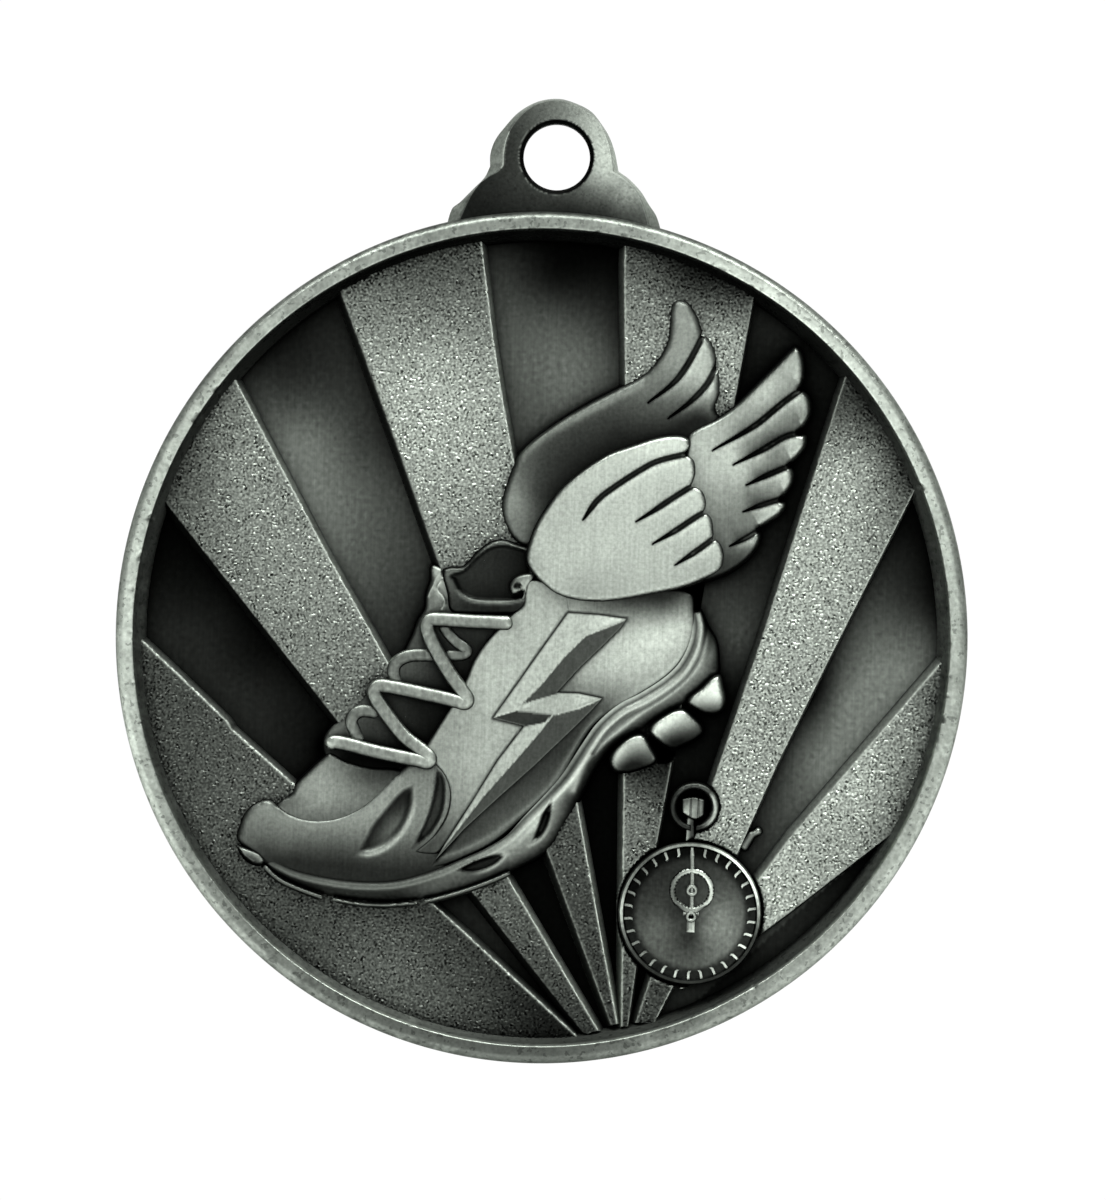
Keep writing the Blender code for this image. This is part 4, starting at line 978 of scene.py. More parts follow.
def midsole():
    """The sole's side: a top ridge all along, and a second ridge below it from the arch to the heel."""
    top = curve(TOP_LINE, closed=False)
    edge = curve(UNDER_LINE, closed=False)
    inner = swung(top, np.interp(np.linspace(0, 1, len(top)), [0, 0.45, 0.6, 1], [0.08, 0.12, 0.35, 0.35]))
    outline = ccw(np.concatenate([inner, edge]))
    second = curve(LOWER_TOP_LINE, closed=False)
    slots = [recess([(-4.7, -13.85, 1), (-3.6, -13.2), (-2.6, -12.85), (-1.65, -12.7, 1), (-2.3, -13.4),
                     (-3.4, -13.85)], 0.22, 0.22, 40, 150, (1, -1)),
             recess([(1.0, -9.3, 1), (0.45, -10.1), (0.1, -11.0), (-0.35, -12.15, 1), (0.35, -11.7),
                     (0.8, -10.8)], 0.24, 0.26, 44, 150, (1, -1))]
    greys = [(-14, -14.5, 66), (-12, -15.1, 64), (-9, -15.25, 42), (-8, -15.05, 38),
             (-6.5, -14.8, 70), (-4.2, -14.3, 66),
             (-2, -13.5, 60), (-0.5, -12.9, 56), (-3, -13.1, 96), (-1.3, -12.3, 140), (0.2, -10.6, 186),
             (1.2, -11.6, 46), (1.4, -10.2, 84), (2.2, -9.5, 34), (1.9, -8.6, 88), (2.3, -7.9, 90),
             (3.1, -8.3, 34), (3.7, -7.0, 40), (3.2, -6.3, 120), (4.5, -4.9, 146), (4.6, -6.0, 46),
             (6.3, -4.6, 56), (5.8, -3.8, 166), (7.6, -3.8, 62), (7.3, -2.75, 170), (9, -2.9, 66),
             (8.6, -1.6, 168), (9.9, -1.7, 70), (9.15, -0.4, 176), (10.1, -0.3, 200), (9.4, 0.9, 150),
             (9.9, 0.6, 150), (9.2, 1.7, 110)]

    def shape(p):
        low = nearest(p, edge)[0]
        high, share, side = nearest(p, top)
        high = -side * high
        h = 0.4 + 0.95 * rounded(low / 1.25)
        h += 0.2 * np.exp(-((high - 0.24) / 0.26) ** 2)
        other = nearest(p, second)[0]
        h += 0.15 * np.exp(-(other / 0.25) ** 2)
        grey = paint(p, greys) + 3 * GRAIN(p)
        # painted highlights: along the top ridge, brightest towards the heel, and along the second ridge
        lit = np.interp(share, [0, 0.06, 0.3, 0.45, 0.62, 0.75, 0.9, 1],
                        [90, 104, 112, 170, 240, 200, 204, 206])
        grey += (lit - grey) * np.exp(-((high - 0.24) / 0.26) ** 2) * 0.92
        grey *= 1 - 0.5 * np.exp(-((high + 0.1) / 0.1) ** 2)
        grey += (176 - grey) * np.exp(-(other / 0.24) ** 2) * 0.8
        between = np.exp(-((high - 0.5) / 0.12) ** 2) * (share > 0.66)
        h -= 0.08 * between
        grey += (76 - grey) * between * 0.8
        for slot in slots:
            slot(p, h, grey)
        # painted shade along the sole's lower edge
        grey += (30 - grey) * np.clip(1 - low / 0.22, 0, 1)
        return h, grey
    Relief("midsole", "shoe_midsole", "sole", outline, shape, pitch=SMOOTH * 0.85, slope_shade=SLOPE_SHADE)


def ribs_and_lugs():
    """The outsole's three thin ribs, the toe lug and the three heel lugs."""
    strips = (
        ("outsole_strip_1", "outsole_rib_1", [(-15.85, -13.95), (-14.9, -14.7), (-13.6, -15.25),
                                              (-12.35, -15.65)], 0.46),
        ("outsole_strip_2", "outsole_rib_2", [(-11.8, -15.72), (-10.3, -15.95), (-8.6, -15.98),
                                              (-6.75, -15.78)], 0.4),
        ("outsole_strip_3", "outsole_rib_3", [(-6.35, -15.7), (-4.5, -15.15), (-2.6, -14.42),
                                              (-1.4, -13.85)], 0.42))
    for name, node, line, width in strips:
        middle = curve(line, closed=False)
        crest = shifted(middle, 0.07)

        def shape(p, crest=crest, middle=middle, width=width):
            near = nearest(p, middle)[0]
            h = 0.45 + 0.8 * rounded(1 - near / (width / 2 + 0.02))
            # the ribs' grey, with a painted highlight along a line just beside their middle
            grey = np.full(len(p), 62.0)
            grey += (124 - grey) * np.exp(-(nearest(p, crest)[0] / 0.09) ** 2)
            return h, grey
        Relief(name, node, "sole", band(line, width, 0.5, 0.6), shape, pitch=0.09, rings=(0.04,))
    # toe and heel lugs: greys with painted highlights above and painted shade below
    figure("toe_lug", "toe_lug", "sole", curve([
        (-17.75, -12.5, 1), (-16.9, -12.75), (-16.1, -13.05), (-15.65, -13.5, 1), (-15.9, -13.96),
        (-16.7, -13.9), (-17.35, -13.3)]), 1.3, 0.4,
        [(-17.3, -12.75, 190), (-16.5, -13.0, 140), (-16.0, -13.3, 150), (-16.9, -13.3, 56),
         (-16.2, -13.75, 40)],
        ridge([(-17.5, -12.75), (-16.9, -13.0), (-16.2, -13.25),
        (-15.9, -13.55)], 0.12, 0.08, 190, 0.7),
        ridge([(-17.3, -12.9), (-16.9, -13.35), (-16.5, -13.6)], 0.08, 0.05, 120, 0.6),
        edge_shading_grey=36, edge_reach=0.12)
    figure("heel_lug_a", "heel_lug_1", "sole", curve([
        (10.42, -1.8), (10.85, -2.7), (10.97, -3.36), (10.75, -4.05), (9.95, -4.3), (9.2, -4.05),
        (8.55, -3.45), (9.3, -2.65)]), 1.45, 0.36,
        [(10.3, -2.6, 240), (10.4, -3.1, 250), (9.8, -3.05, 226), (9.2, -3.45, 200), (10.2, -3.8, 90),
         (9.6, -4.0, 50), (10.75, -3.9, 50), (9.1, -3.8, 70)], edge_shading_grey=84, edge_reach=0.1)
    figure("heel_lug_b", "heel_lug_2", "sole", curve([
        (8.35, -3.85), (9.2, -4.4), (9.76, -5.05), (9.5, -5.6), (8.5, -6.2), (7.8, -6.4), (7, -5.95),
        (6.4, -5.2), (7.2, -4.3)]), 1.4, 0.34,
        [(8.3, -4.3, 230), (7.2, -5.0, 244), (6.8, -5.3, 214), (8.9, -4.8, 140), (8, -5.0, 150),
         (8.4, -5.5, 46), (7.5, -5.7, 56), (7.8, -6.1, 24), (9.3, -5.3, 40), (8.9, -5.8, 30)],
        edge_shading_grey=76, edge_reach=0.1)
    figure("heel_lug_c", "heel_lug_3", "sole", curve([
        (6.15, -5.45), (6.75, -6.3), (7.05, -7.05), (6.2, -7.6), (4.95, -7.9), (4.3, -7.6),
        (4.15, -6.9), (4.65, -6.1), (5.45, -5.5)]), 1.35, 0.34,
        [(6.1, -5.8, 206), (5.3, -6.15, 186), (4.7, -6.6, 224), (4.4, -6.9, 236), (5.8, -6.5, 110),
         (5.4, -7.2, 30), (6.5, -7.0, 60), (4.8, -7.4, 60), (6.2, -7.4, 30)],
        ridge([(6.25, -5.75), (6.6, -6.3), (6.85, -6.85)], 0.1, 0.05, 170, 0.7),
        edge_shading_grey=76, edge_reach=0.1)


# ---------------------------------------------------------------- laces
LACE_R = 0.43
LACE_SIDES = 14
LACE_LIGHT = np.array([-0.25, 0.97])  # the way that the lit side of a lace faces
# grey of a lace's painted shade, on the side turned from LACE_LIGHT
LACE_SHADE_GREY = 22
LACE = [(-1.7, 0.78, 1.79), (-4.0, 0.8, 1.72), (-6.2, 0.86, 1.6), (-6.62, 0.78, 1.6),
        (-6.74, 0.38, 1.6), (-6.3, -0.7, 1.62), (-5.3, -2.3, 1.68), (-4.25, -3.7, 1.79),
        (-4.32, -3.98, 1.79), (-4.8, -3.9, 1.76), (-6.6, -3.55, 1.66), (-9.0, -3.15, 1.56),
        (-9.55, -3.18, 1.54), (-9.72, -3.55, 1.54), (-9.3, -4.3, 1.56), (-7.9, -6.0, 1.64),
        (-6.35, -7.2, 1.79), (-6.4, -7.5, 1.79), (-7.0, -7.42, 1.76), (-9.4, -7.02, 1.64),
        (-11.9, -6.52, 1.5), (-12.45, -6.8, 1.35)]


def rod(name, node, route, radius, bright, glints=()):
    """A lace along a route of (x, y, height of its top), closed with round ends."""
    flat = np.array([(x, y) for x, y, _ in route])
    line = curve(flat.tolist(), closed=False, step=0.09)
    along = np.concatenate([[0], np.cumsum(np.hypot(*np.diff(line, axis=0).T))])
    height = np.interp(along / along[-1], nearest(flat, line)[1], [z for _, _, z in route])
    direction = np.gradient(line, axis=0)
    direction /= np.hypot(*direction.T)[:, None]
    side = np.stack([-direction[:, 1], direction[:, 0]], 1)
    from_end = np.minimum(along, along[-1] - along)
    scale = np.sqrt(np.clip(1 - (1 - np.clip(from_end / (radius * 0.9), 0, 1)) ** 2, 0.02, 1))
    turns = np.linspace(0, 2 * math.pi, LACE_SIDES, endpoint=False)
    c, s = np.cos(turns), np.sin(turns)
    rings, grey = [], []
    for k, at in enumerate(line):
        across = np.sign(c) * abs(c) ** 0.75 * radius * scale[k]
        up = np.sign(s) * abs(s) ** 0.75 * radius * scale[k] * 0.85
        xy = at + side[k] * across[:, None]
        rings.append(world(xy, height[k] - radius + up))
        # painted light and shade round each ring of the lace, with painted glints near the given points
        lit = side[k] @ LACE_LIGHT * c * 0.75 + s * 0.55
        tip = max([math.exp(-((at[0] - x) ** 2 + (at[1] - y) ** 2) / 0.35) for x, y in glints] or [0])
        grey.append((LACE_SHADE_GREY + (bright - LACE_SHADE_GREY) * ease(0.5 + 0.62 * lit))
                    * (1 + 0.3 * tip + 0.07 * GRAIN(xy)))
    ends = [world(line[[k]], height[[k]] - radius) for k in (0, -1)]
    count = len(line)
    first, last, end_ring = count * LACE_SIDES, count * LACE_SIDES + 1, (count - 1) * LACE_SIDES
    steps = [(k, (k + 1) % LACE_SIDES) for k in range(LACE_SIDES)]
    polygons = [(low + a, low + b, low + LACE_SIDES + b, low + LACE_SIDES + a)
                for low in range(0, end_ring, LACE_SIDES) for a, b in steps]
    for a, b in steps:
        polygons += [(first, b, a), (last, end_ring + a, end_ring + b)]
    finish_mesh(name, np.concatenate(rings + ends), polygons,
                np.concatenate(grey + [[bright], [bright]]), node, "shoe")

def laces():
    """The crossed lace, and three loops of its far side behind it."""
    rod("lace", "shoe_lace", LACE, LACE_R, 154,
        glints=[(-4.25, -3.85), (-6.3, -7.35), (-1.8, 0.78), (-12.4, -6.8)])
    rod("lace_behind_a", "lace_back_1",
        [(-5.9, 0.7, 1.2), (-5.5, 0.1, 1.3), (-5.0, -0.4, 1.34), (-4.5, -0.75, 1.34),
         (-4.35, -1.0, 1.3), (-4.8, -1.2, 1.22), (-5.7, -1.25, 1.12)], 0.36, 128)
    rod("lace_behind_b", "lace_back_2",
        [(-8.3, -3.1, 1.1), (-8.6, -2.4, 1.22), (-8.5, -1.8, 1.28), (-7.8, -1.35, 1.32),
         (-6.7, -1.25, 1.28), (-6.1, -1.3, 1.15)], 0.4, 124)
    rod("lace_behind_c", "lace_back_3",
        [(-10.4, -6.6, 1.1), (-10.75, -5.9, 1.2), (-11.0, -5.2, 1.28), (-10.6, -4.7, 1.32),
         (-9.9, -4.65, 1.28), (-9.3, -4.8, 1.15)], 0.4, 128)

# ---------------------------------------------------------------- stopwatch
WATCH = (9.2, -15.9)
WATCH_R = 4.2
DIAL_R = 3.95
DIAL_TOP = 0.98
MARK_BACK = DIAL_TOP - 0.1
TICKS = 30
SMALL_DIAL = (9.27, -14.55)
BOW_AT = (9.25, -9.65)


def stopwatch():
    """The case: a round bezel about a sunk dial."""
    def case(p):
        r, turn = about(p, WATCH)
        h = np.interp(r, [0, DIAL_R - 0.09, DIAL_R - 0.01, 4.14, WATCH_R],
                      [DIAL_TOP, DIAL_TOP, 1.24, 1.3, 0.6])
        dial = paint(p, [(6.6, -16, 62), (8, -17.5, 74), (10.8, -16, 116), (11.2, -17, 112),
                         (9.4, -18.9, 76), (7.4, -16.6, 84), (9.3, -17.3, 40), (8.5, -16.6, 60),
                         (10.1, -16.4, 80), (9.3, -12.7, 44), (7, -13.5, 40), (11.7, -13.4, 52),
                         (8.4, -15.9, 44), (12.4, -16, 84), (10.2, -16.8, 108), (6, -14.5, 40),
                         (10.6, -14.2, 66), (7.4, -14.9, 52)], 0.3)
        # painted shade on the dial close under the bezel
        dial *= 1 - 0.55 * ease((r - 3.0) / 0.5)
        # painted highlights and shade round the bezel by turn, and half that grey on its outer slope
        bezel = np.interp(turn % 360, [0, 20, 45, 62, 85, 110, 130, 160, 180, 200, 230, 300, 340, 360],
                          [130, 214, 236, 200, 110, 120, 70, 120, 214, 110, 50, 44, 60, 130])
        grey = np.where(r > DIAL_R - 0.04, bezel, dial) * (1 + 0.05 * GRAIN(p))
        return h, np.where(r > 4.17, bezel * 0.5, grey)
    Relief("watch_case", "watch_case", "watch", arc(WATCH, WATCH_R, 0, 360, 0.08), case,
           pitch=SMOOTH * 0.8, rings=(0.05, 0.1, 0.15, 0.19, 0.25, 0.31, 0.37))

def ticks():
    """Raised minute marks in one closed mesh, each a small bar with a sunk foot."""
    verts, polygons, grey = [], [], []
    for k in range(TICKS):
        turn = math.radians(360 / TICKS * k + 90)
        out = np.array([math.cos(turn), math.sin(turn)])
        side = np.array([-out[1], out[0]])
        jog = -0.1 * np.sign(out[0])
        spine = [(3.34, jog), (3.46, jog * 0.1), (3.94, 0.0)]
        ring = [out * r + side * (s + 0.085) for r, s in spine]
        ring += [out * r + side * (s - 0.085) for r, s in reversed(spine)]
        ring = np.array(ring) + WATCH
        inner = ring + (ring.mean(0) - ring) * 0.22
        count = len(ring)
        base = k * 3 * count
        light = 158 + 40 * out[0] + 20 * math.sin(7.3 * k)
        for line, rise, tone in ((ring, -0.1, 40.0), (ring, 0.08, 90.0), (inner, 0.17, light)):
            verts.append(world(line, np.full(count, DIAL_TOP + rise)))
            grey.append(np.full(count, tone))
        for a in range(count):
            b = (a + 1) % count
            for low in (base, base + count):
                polygons.append((low + b, low + a, low + count + a, low + count + b))
        polygons.append(tuple(base + 2 * count + a for a in reversed(range(count))))
        polygons.append(tuple(base + a for a in range(count)))
    finish_mesh("minute_marks", np.concatenate(verts), polygons, np.concatenate(grey),
                "watch_minute_track", "watch")

def mark(name, outline, shape, pitch=0.07, rings=(0.04,)):
    """A raised mark on the dial."""
    Relief(name, "watch_dial_marks", "watch", outline, shape, back=MARK_BACK, pitch=pitch, rings=rings)

def dial_marks():
    """The small dial, the hand across it, and two little rings on the hand."""
    def subdial(p):
        r, turn = about(p, SMALL_DIAL)
        near = abs(r - 1.15)
        point = nearest(p, np.array([(8.5, -15.35), (9.27, -15.95), (10.05, -15.35)]))[0]
        near = np.minimum(near, np.where(p[:, 1] < -15.2, point, 9))
        h = DIAL_TOP - 0.05 + 0.22 * rounded(1 - near / 0.2)
        teeth = 0.5 + 0.5 * np.sign(np.sin(np.radians(turn) * 30))
        # a painted highlight on the right of the small dial's ring
        grey = np.where(near < 0.12, 150 + 56 * np.cos(np.radians(turn - 20)), 22)
        return h, np.where((r < 1.04) & (r > 0.86), 34 + 96 * teeth, grey)
    mark("small_dial", np.concatenate([arc(SMALL_DIAL, 1.32, -42, 222, 0.07), [(9.27, -16.0)]]),
         subdial, rings=(0.05, 0.1))
    for name, line, width, rise, top_grey in (
            ("hand", [(9.2, -12.15), (9.25, -13.4), (9.28, -15.6)], 0.26, 0.16, 140),
            ("hand_block", [(9.26, -16.35), (9.26, -17.0)], 0.46, 0.14, 150),
            ("hand_bar", [(8.8, -15.93), (9.72, -15.93)], 0.2, 0.13, 120)):
        # one side of each bar painted lighter and the other darker, as painted light and shade
        def bar(p, line=np.array(line), width=width, rise=rise, top_grey=top_grey):
            near, _, side = nearest(p, line)
            return (DIAL_TOP + rise * rounded(1.15 - near / (width / 2)),
                    top_grey + 45 * side * (near > width * 0.25))
        mark(name, band(line, width), bar)
    for name, at, outer in (("hub_ring", SMALL_DIAL, 0.36), ("foot_ring", (9.27, -16.08), 0.34)):
        def ring(p, at=at, outer=outer):
            r = about(p, at)[0]
            near = abs(r - outer * 0.68)
            h = DIAL_TOP + 0.04 + 0.2 * rounded(1 - near / (outer * 0.4))
            # the ring's crest painted light and the pit in its middle painted dark as shade
            return h, np.where(r < outer * 0.36, 16.0, np.where(near < outer * 0.2, 150.0, 84.0))
        mark(name, arc(at, outer, 0, 360, 0.06), ring, pitch=0.05)

def watch_fittings():
    """The bow, the stem, the crown and the pusher."""
    def bow(p):
        r, turn = about(p, BOW_AT)
        h = 0.42 + 0.72 * rounded(1 - abs(r - 1.25) / 0.26)
        # painted highlight on the right of the bow and painted shade round the rest; its inner and outer
        # slopes painted darker
        grey = np.interp(turn % 360, [0, 30, 45, 90, 180, 250, 290, 318, 330, 360],
                         [176, 160, 70, 62, 52, 44, 40, 140, 160, 176])
        return h, grey * np.where(abs(r - 1.22) < 0.17, 1.0, 0.6)
    outline = np.concatenate([arc(BOW_AT, 1.48, -86, 266, 0.08), arc(BOW_AT, 0.98, 266, -86, 0.08)])
    Relief("watch_bow", "watch_bow", "watch", outline, bow, pitch=0.1, rings=(0.06, 0.12))
    # the stem, crown and pusher carry painted highlights and painted shade in their greys
    figure("watch_stem", "watch_stem", "watch", np.array([(8.72, -11.75), (9.62, -11.75), (9.55, -10.1),
                                                         (8.8, -10.1)]), 0.95, 0.15,
           [(8.85, -11, 120), (9.0, -11, 60), (9.3, -11, 38), (9.55, -11, 34)],
           ridge([(8.88, -10.3), (8.86, -11.0), (8.84, -11.8)], 0.07, 0.03, 230), pitch=0.08)
    figure("watch_crown", "watch_crown", "watch", curve([
        (8.45, -9.15, 1), (9.2, -9.0), (9.92, -9.15, 1), (9.9, -10.15, 1), (9.5, -10.42), (9.1, -10.4),
        (8.5, -10.05, 1)]), 1.2, 0.16,
        [(8.65, -9.5, 84), (8.9, -9.8, 200), (9.2, -9.6, 104), (9.6, -9.6, 124), (9.4, -10.2, 96),
         (9.2, -9.2, 84)],
        groove([(9.05, -9.0), (9.05, -9.7), (9.05, -10.5)], 0.14, 0.05, 110),
        groove([(9.5, -9.0), (9.5, -9.7), (9.5, -10.5)], 0.12, 0.05, 120), edge_shading_grey=90, pitch=0.08)
    figure("watch_pusher", "watch_pusher", "watch", curve([
        (11.9, -11.85, 1), (12.45, -10.95, 1), (12.75, -10.85), (12.95, -10.68), (13.25, -10.75),
        (13.35, -11.05), (13.15, -11.25), (12.95, -11.35, 1), (12.5, -12.15, 1),
        (12.2, -12.2)]), 0.98, 0.28,
        [(12.1, -11.75, 150), (12.5, -11.15, 176), (12.4, -11.8, 84), (12.75, -11.3, 70),
         (13.1, -10.9, 214), (12.8, -11.0, 70)],
        edge_shading_grey=44, pitch=0.08)


# ---------------------------------------------------------------- lug
def lug():
    """The lug: drafted sides, a chamfered eye, the same behind as in front."""
    low = LUG_TOP_Y - 7.7
    silhouette = curve([
        (-6.35, low, 1), (-6.05, 25.0), (-5.6, 25.4), (-4.9, 26.15), (-4.2, 26.9), (-3.9, 27.55, 1),
        (-3.9, 28.3), (-3.65, 29.1), (-3.1, 29.9), (-2.3, 30.8), (-1.2, 31.45), (0, LUG_TOP_Y),
        (1, 31.42), (1.95, 30.95), (2.6, 30.2), (3.05, 29.5), (3.4, 28.6), (3.65, 27.5, 1),
        (4.3, 27.05), (5.0, 26.35), (5.5, 25.6), (5.95, 24.95), (6.3, low, 1)])
    face = curve([
        (-5.75, low, 1), (-5.35, 24.9), (-4.95, 25.8), (-4.45, 26.5), (-3.9, 26.95), (-3.4, 27.25),
        (-3.15, 27.6, 1), (-3.13, 28.4), (-2.95, 29.3), (-2.5, 30.15), (-1.8, 30.9), (-1.0, 31.35),
        (0, 31.5), (1, 31.25), (1.9, 30.75), (2.45, 30.25), (2.75, 29.7), (3.05, 28.9), (3.25, 28),
        (3.3, 27.45, 1), (4.1, 26.95), (4.75, 26.25), (5.15, 25.45), (5.4, 24.7), (5.6, low, 1)])
    eye = arc((0, EYE_Y), EYE_R, 0, 360, 0.09)
    over_eye = arc((0, EYE_Y), CHAMFER_R, 0, 360, 0.09)

    def shape(p):
        on_face = inside(p, face)
        out, into = (nearest(p, line)[0] for line in (silhouette, face))
        t = np.where(on_face, 1, out / (out + into + 1e-6))
        r = about(p, (0, EYE_Y))[0]
        h = 0.1 + (LUG_HALF_T - 0.1) * t
        h = np.minimum(h, LUG_HALF_T - 0.4 * np.clip((CHAMFER_R - r) / 0.2, 0, 1))
        # painted light and shade: the face darker to the left and below, lighter to the right; the sides
        # lighter again
        grey = paint(p, [(-2.7, 28.5, 48), (-2.5, 29.6, 54), (-1.8, 30.6, 72), (0, 30.9, 104),
                         (1.4, 30.6, 140), (2.2, 29.7, 170), (2.65, 28.3, 184), (2.9, 27.4, 178),
                         (-3, 27.3, 48), (-4, 26.3, 38), (-4.9, 25.3, 30), (-2, 26, 48), (0, 25.6, 50),
                         (2, 26, 80), (3.4, 26.5, 132), (4.2, 25.9, 134), (4.6, 25.2, 80),
                         (3, 25.3, 56), (1, 25.3, 42)], 0.3) * (1 + 0.04 * STIPPLE(p))
        side = paint(p, [(-3.5, 28.3, 160), (-3.2, 29.6, 172), (-1.5, 31.2, 170), (0, 31.6, 160),
                         (2.6, 30.0, 190), (3.4, 28.3, 214), (4.9, 26.1, 196), (5.6, 25.2, 170),
                         (-4.6, 26.2, 160), (-5.7, 25.1, 158)])
        share = np.where(into < 0.02, 0.5, on_face * 1.0)
        grey = share * grey + (1 - share) * side
        # painted highlight along the face's upper left edge
        grey += (205 - grey) * np.clip(1 - into / 0.07, 0, 1) * (p[:, 0] < -2.8) * (p[:, 1] > 27.4)
        # the eye and its chamfer painted dark as shade, with a painted highlight just outside the chamfer
        # on its left
        grey = np.where(r < 2.17, np.where(r < 1.97, 44, 18), grey)
        ring = np.exp(-((r - 2.22) / 0.045) ** 2) * np.clip(0.3 - (p[:, 0] + 0.3 * (p[:, 1] - EYE_Y)), 0, 1)
        grey += (110 - grey) * ring
        return h, grey
    Relief("ribbon_lug_silver", "ribbon_lug", "lug", silhouette, shape, hole=eye, both_sides=True,
           pitch=0.11, rings=(0.1,),
           lines=[face, shifted(face, -0.05), np.concatenate([over_eye, over_eye[:1]])])


# ---------------------------------------------------------------- rim
RIM_PROFILE = ((25.0, 0.0), (25.0, 0.6), (24.98, 1.0), (24.93, 1.3), (24.84, 1.52), (24.72, 1.68),
               (24.6, 1.77), (24.48, 1.8), (24.35, 1.8), (24.22, 1.8), (24.1, 1.8), (24.0, 1.79),
               (23.95, 1.75), (23.92, 1.66), (23.8, 1.42), (23.65, 1.16), (23.5, 0.92), (23.35, 0.68),
               (23.24, 0.48), (23.2, 0.38), (23.15, 0.25))
RIM_BACK = ((23.3, -1.3), (23.3, -1.42), (23.6, -1.6), (23.9, -1.76), (24.0, -1.8), (24.2, -1.8),
            (24.45, -1.8), (24.65, -1.74), (24.84, -1.52), (24.95, -1.1), (25.0, -0.6))
# Greys round the rim by turn, degrees from +x: painted light and shade, each face and wall lighter or
# darker by which way it turns
RIM_FACE_GREYS = ((0, 156), (30, 184), (60, 200), (80, 140), (90, 128), (102, 124), (125, 146),
                  (150, 164),
                  (180, 180), (205, 144), (225, 110), (250, 84), (272, 76), (295, 106), (315, 142),
                  (340, 150), (360, 156))
RIM_BAND_GREYS = ((0, 160), (40, 160), (70, 122), (90, 96), (110, 116), (140, 140), (165, 176),
                  (195, 184),
                  (220, 134), (245, 100), (275, 84), (300, 118), (330, 150), (360, 160))
WALL_GREYS = ((0, 112), (30, 74), (60, 24), (120, 24), (150, 60), (180, 104), (205, 112), (225, 118),
              (250, 96), (275, 58), (300, 60), (330, 96), (360, 112))
WALL_EDGE_GREYS = ((0, 190), (25, 150), (50, 60), (130, 50), (155, 70), (180, 110), (205, 160),
                   (225, 196), (250, 190), (280, 130), (320, 200), (345, 214), (360, 190))


def rim():
    """The border, turned from its profile, with the small dents of use along its inner edge."""
    steps = RIM_STEPS
    profile = np.array(RIM_PROFILE + RIM_BACK)
    turn = np.linspace(0, 360, steps, endpoint=False)
    count = len(profile)
    r = np.repeat(profile[None, :, 0], steps, 0)
    h = np.repeat(profile[None, :, 1], steps, 0)
    c, s = np.cos(np.radians(turn))[:, None], np.sin(np.radians(turn))[:, None]
    flat = np.stack([r * c, r * s], 2).reshape(-1, 2)
    dent = (MOTTLE(flat * 1.7) - 1.5).clip(0, 1.2).reshape(steps, count)
    edge = np.exp(-(((r - 23.98) / 0.16) ** 2)) * (h > 1)
    h = h - 0.16 * dent * edge
    h = np.where((h > 1.6), h + 0.006 * GRAIN(flat).reshape(steps, count), h)
    h = np.clip(h, -HALF_T, HALF_T)

    def around(table):
        angles, greys = zip(*table)
        return np.interp(turn, angles, greys)[:, None]
    front = np.broadcast_to(h > -0.5, h.shape)
    grey = np.where(r > 24.58, around(RIM_BAND_GREYS), around(RIM_FACE_GREYS))
    grey = np.where(front & (r < 23.93) & (h < 1.74), around(WALL_GREYS), grey)
    grey = np.where(front & (abs(r - 23.94) < 0.04), around(WALL_EDGE_GREYS), grey)
    foot = front & (r < 23.28) & (r > 23.18)
    lit = np.interp(turn, [0, 40, 60, 130, 150, 200, 220, 300, 330, 360],
                    [110, 60, 14, 14, 50, 100, 120, 40, 60, 110])[:, None]
    grey = np.where(foot, lit, grey)
    grey = grey + (6 * GRAIN(flat) + 5 * MOTTLE(flat)).reshape(steps, count) * (grey > 90)
    grey = grey * (1 - 0.4 * dent * edge)
    verts = world(flat, h.reshape(-1))
    polygons = [(i * count + k, j * count + k, j * count + m, i * count + m)
                for i, j in zip(range(steps), [*range(1, steps), 0])
                for k, m in zip(range(count), [*range(1, count), 0])]
    finish_mesh("border_silver_rim", verts, polygons, grey.reshape(-1), "border_rim", "border")


# ---------------------------------------------------------------- patina and painted shade gathered in the hollows
def composite():
    """The whole face's height on a raster, for finding its hollows."""
    side = (np.arange(RASTER_SIZE) + 0.5) * RASTER
    x, y = np.meshgrid(side + RASTER_LOW[0], side + RASTER_LOW[1])
    flat = np.stack([x.ravel(), y.ravel()], 1)
    r = np.hypot(*flat.T)
    radii, heights = zip(*sorted(RIM_PROFILE[1:]))
    height = np.where(r > RIM_PROFILE[0][0], -1.0, np.interp(r, radii, heights, left=GROUND))
    for relief in RELIEFS:
        if relief.name == "brushed_web":
            continue
        rows = np.flatnonzero(inside(flat, relief.outline))
        if len(rows):
            height[rows] = np.maximum(height[rows], relief.shape(flat[rows])[0])
    # the lace is raised in the height map so that painted shade gathers beside it
    lace = nearest(flat, curve([q[:2] for q in LACE], closed=False))[0]
    height = np.where(lace < LACE_R, np.maximum(height, 1.6), height)
    return height.reshape(RASTER_SIZE, RASTER_SIZE)


def blurred(grid, sigma):
    """The grid smoothed over sigma millimetres."""
    count = len(grid)
    f = np.fft.rfftfreq(count, RASTER)[None] ** 2 + np.fft.fftfreq(count, RASTER)[:, None] ** 2
    return np.fft.irfft2(np.fft.rfft2(grid) * np.exp(-2 * (math.pi * sigma) ** 2 * f), grid.shape)


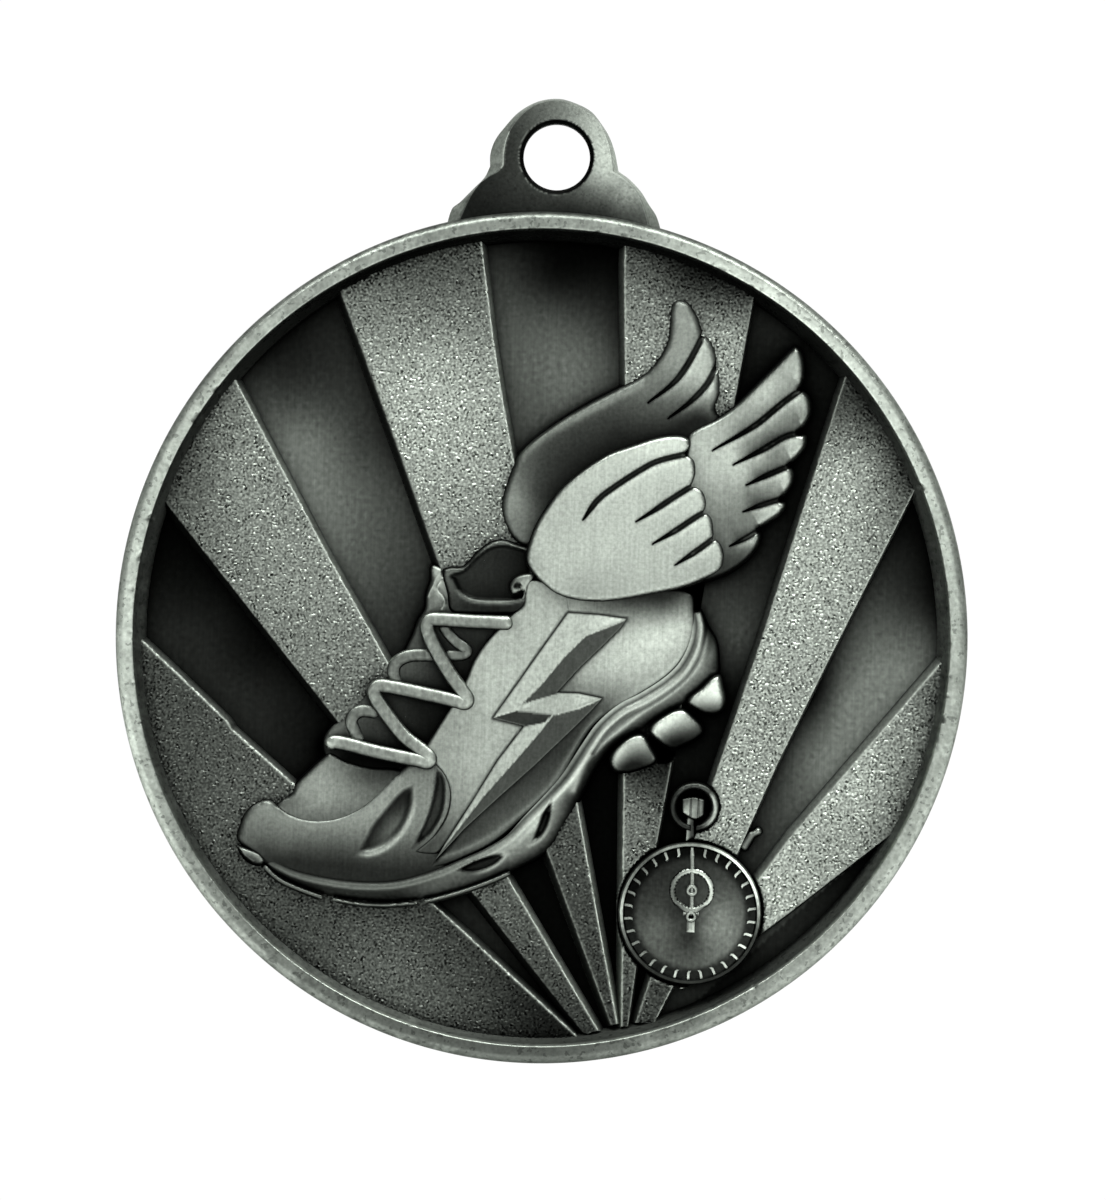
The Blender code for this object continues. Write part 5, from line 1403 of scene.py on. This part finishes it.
def hollows():
    """A function that darkens greys in hollows."""
    height = composite()
    layers = [(blurred(height, 0.25), 1.1), (blurred(height, 0.7), 0.9)]

    def sample(grid, p):
        at = (p - RASTER_LOW) / RASTER - 0.5
        i = np.clip(np.floor(at).astype(int), 0, RASTER_SIZE - 2)
        x, y = i.T
        return blend(grid, x, y, x + 1, y + 1, np.clip(at - i, 0, 1))

    def shade(p, h, grey):
        # the darkening in hollows is partly the plating's patina and partly painted shade
        sunk = sum(weight * np.clip(sample(grid, p) - h - 0.03, 0, 0.6) for grid, weight in layers)
        return grey * np.exp(-1.4 * sunk)
    return shade


# ---------------------------------------------------------------- build
rays()
web()
wings()
uppers()
collar_and_tongue()
midsole()
ribs_and_lugs()
stopwatch()
dial_marks()
watch_fittings()
lug()
shade = hollows()
for relief in RELIEFS:
    relief.build(None if relief.both_sides else shade)
rim()
ticks()
laces()

# ---------------------------------------------------------------- stage, light and camera
scene = bpy.context.scene
scene.view_settings.view_transform = "Standard"
scene.view_settings.look = "None"

FLOOR_Z = CAD_BOX[0][2] - 0.1     # metres from here on
FLOOR_SIDE, FLOOR_FRONT, FLOOR_BACK = 1.5, -1.5, 1.0
WORLD_LIGHT = 0.42
WORLD_SEEN = 1.02                 # the plain white behind the medal

def floor():
    """A pale floor well below the medal, which hangs free."""
    material = bpy.data.materials.new("pale_floor")
    material.use_nodes = True
    shader = material.node_tree.nodes["Principled BSDF"]
    shader.inputs["Base Color"].default_value = (0.93, 0.93, 0.93, 1)
    shader.inputs["Roughness"].default_value = 0.9
    shader.inputs["Emission Color"].default_value = (1, 1, 1, 1)
    shader.inputs["Emission Strength"].default_value = 0.3
    corners = [(-FLOOR_SIDE, FLOOR_FRONT), (FLOOR_SIDE, FLOOR_FRONT),
               (FLOOR_SIDE, FLOOR_BACK), (-FLOOR_SIDE, FLOOR_BACK)]
    mesh = bpy.data.meshes.new("floor")
    mesh.from_pydata([(x, y, FLOOR_Z) for x, y in corners], [], [(0, 1, 2, 3)])
    mesh.materials.append(material)
    made = bpy.data.objects.new("floor", mesh)
    scene.collection.objects.link(made)

def lamp(name, at, target, size, power):
    """A soft rectangular lamp, aimed at a point."""
    light = bpy.data.lights.new(name, "AREA")
    light.shape = "RECTANGLE"
    light.size, light.size_y = size
    light.energy = power
    made = bpy.data.objects.new(name, light)
    made.location = at
    made.rotation_euler = (Vector(target) - Vector(at)).to_track_quat("-Z", "Y").to_euler()
    scene.collection.objects.link(made)


MIDDLE = (0.0, 0.0, DISC_Z * MM)
studio = bpy.data.worlds.new("studio")
studio.use_nodes = True
wires = studio.node_tree
seen = wires.nodes.new("ShaderNodeLightPath").outputs["Is Camera Ray"]
glow = wires.nodes.new("ShaderNodeMapRange")
glow.inputs["To Min"].default_value = WORLD_LIGHT
glow.inputs["To Max"].default_value = WORLD_SEEN
wires.links.new(seen, glow.inputs["Value"])
wires.nodes["Background"].inputs["Color"].default_value = (1, 1, 1, 1)
wires.links.new(glow.outputs["Result"], wires.nodes["Background"].inputs["Strength"])
scene.world = studio
floor()
lamp("softbox_front", (-0.15, -1.1, 0.15), MIDDLE, (1.5, 1.3), 5.6)
lamp("softbox_above", (0.12, -0.3, 0.45), MIDDLE, (0.5, 0.3), 1.2)
lamp("softbox_top", (0, -0.2, 0.9), (0, 0.28, 0.1), (1.2, 0.4), 24)
lamp("softbox_back", (0.2, 1.2, 0.3), MIDDLE, (1.5, 1.2), 6.0)

SENSOR = 24.0
DISTANCE = 0.55
VIEW_HEIGHT = 70.5 * MM           # height of the view at the medal
ROLL = math.radians(1.8)
AIM = Vector((0.595 * MM, 0, -25.983 * MM))
camera = bpy.data.cameras.new("camera")
camera.sensor_fit = "VERTICAL"
camera.sensor_height = SENSOR
camera.lens = SENSOR * DISTANCE / VIEW_HEIGHT
camera.clip_start = 0.01
camera.clip_end = 10
eye = bpy.data.objects.new("camera", camera)
right = Vector((math.cos(ROLL), 0, math.sin(ROLL)))
up = Vector((-math.sin(ROLL), 0, math.cos(ROLL)))
back = Vector((0, -1, 0))
eye.matrix_world = Matrix.LocRotScale(AIM + back * DISTANCE, Matrix((right, up, back)).transposed(), None)
scene.collection.objects.link(eye)
scene.camera = eye
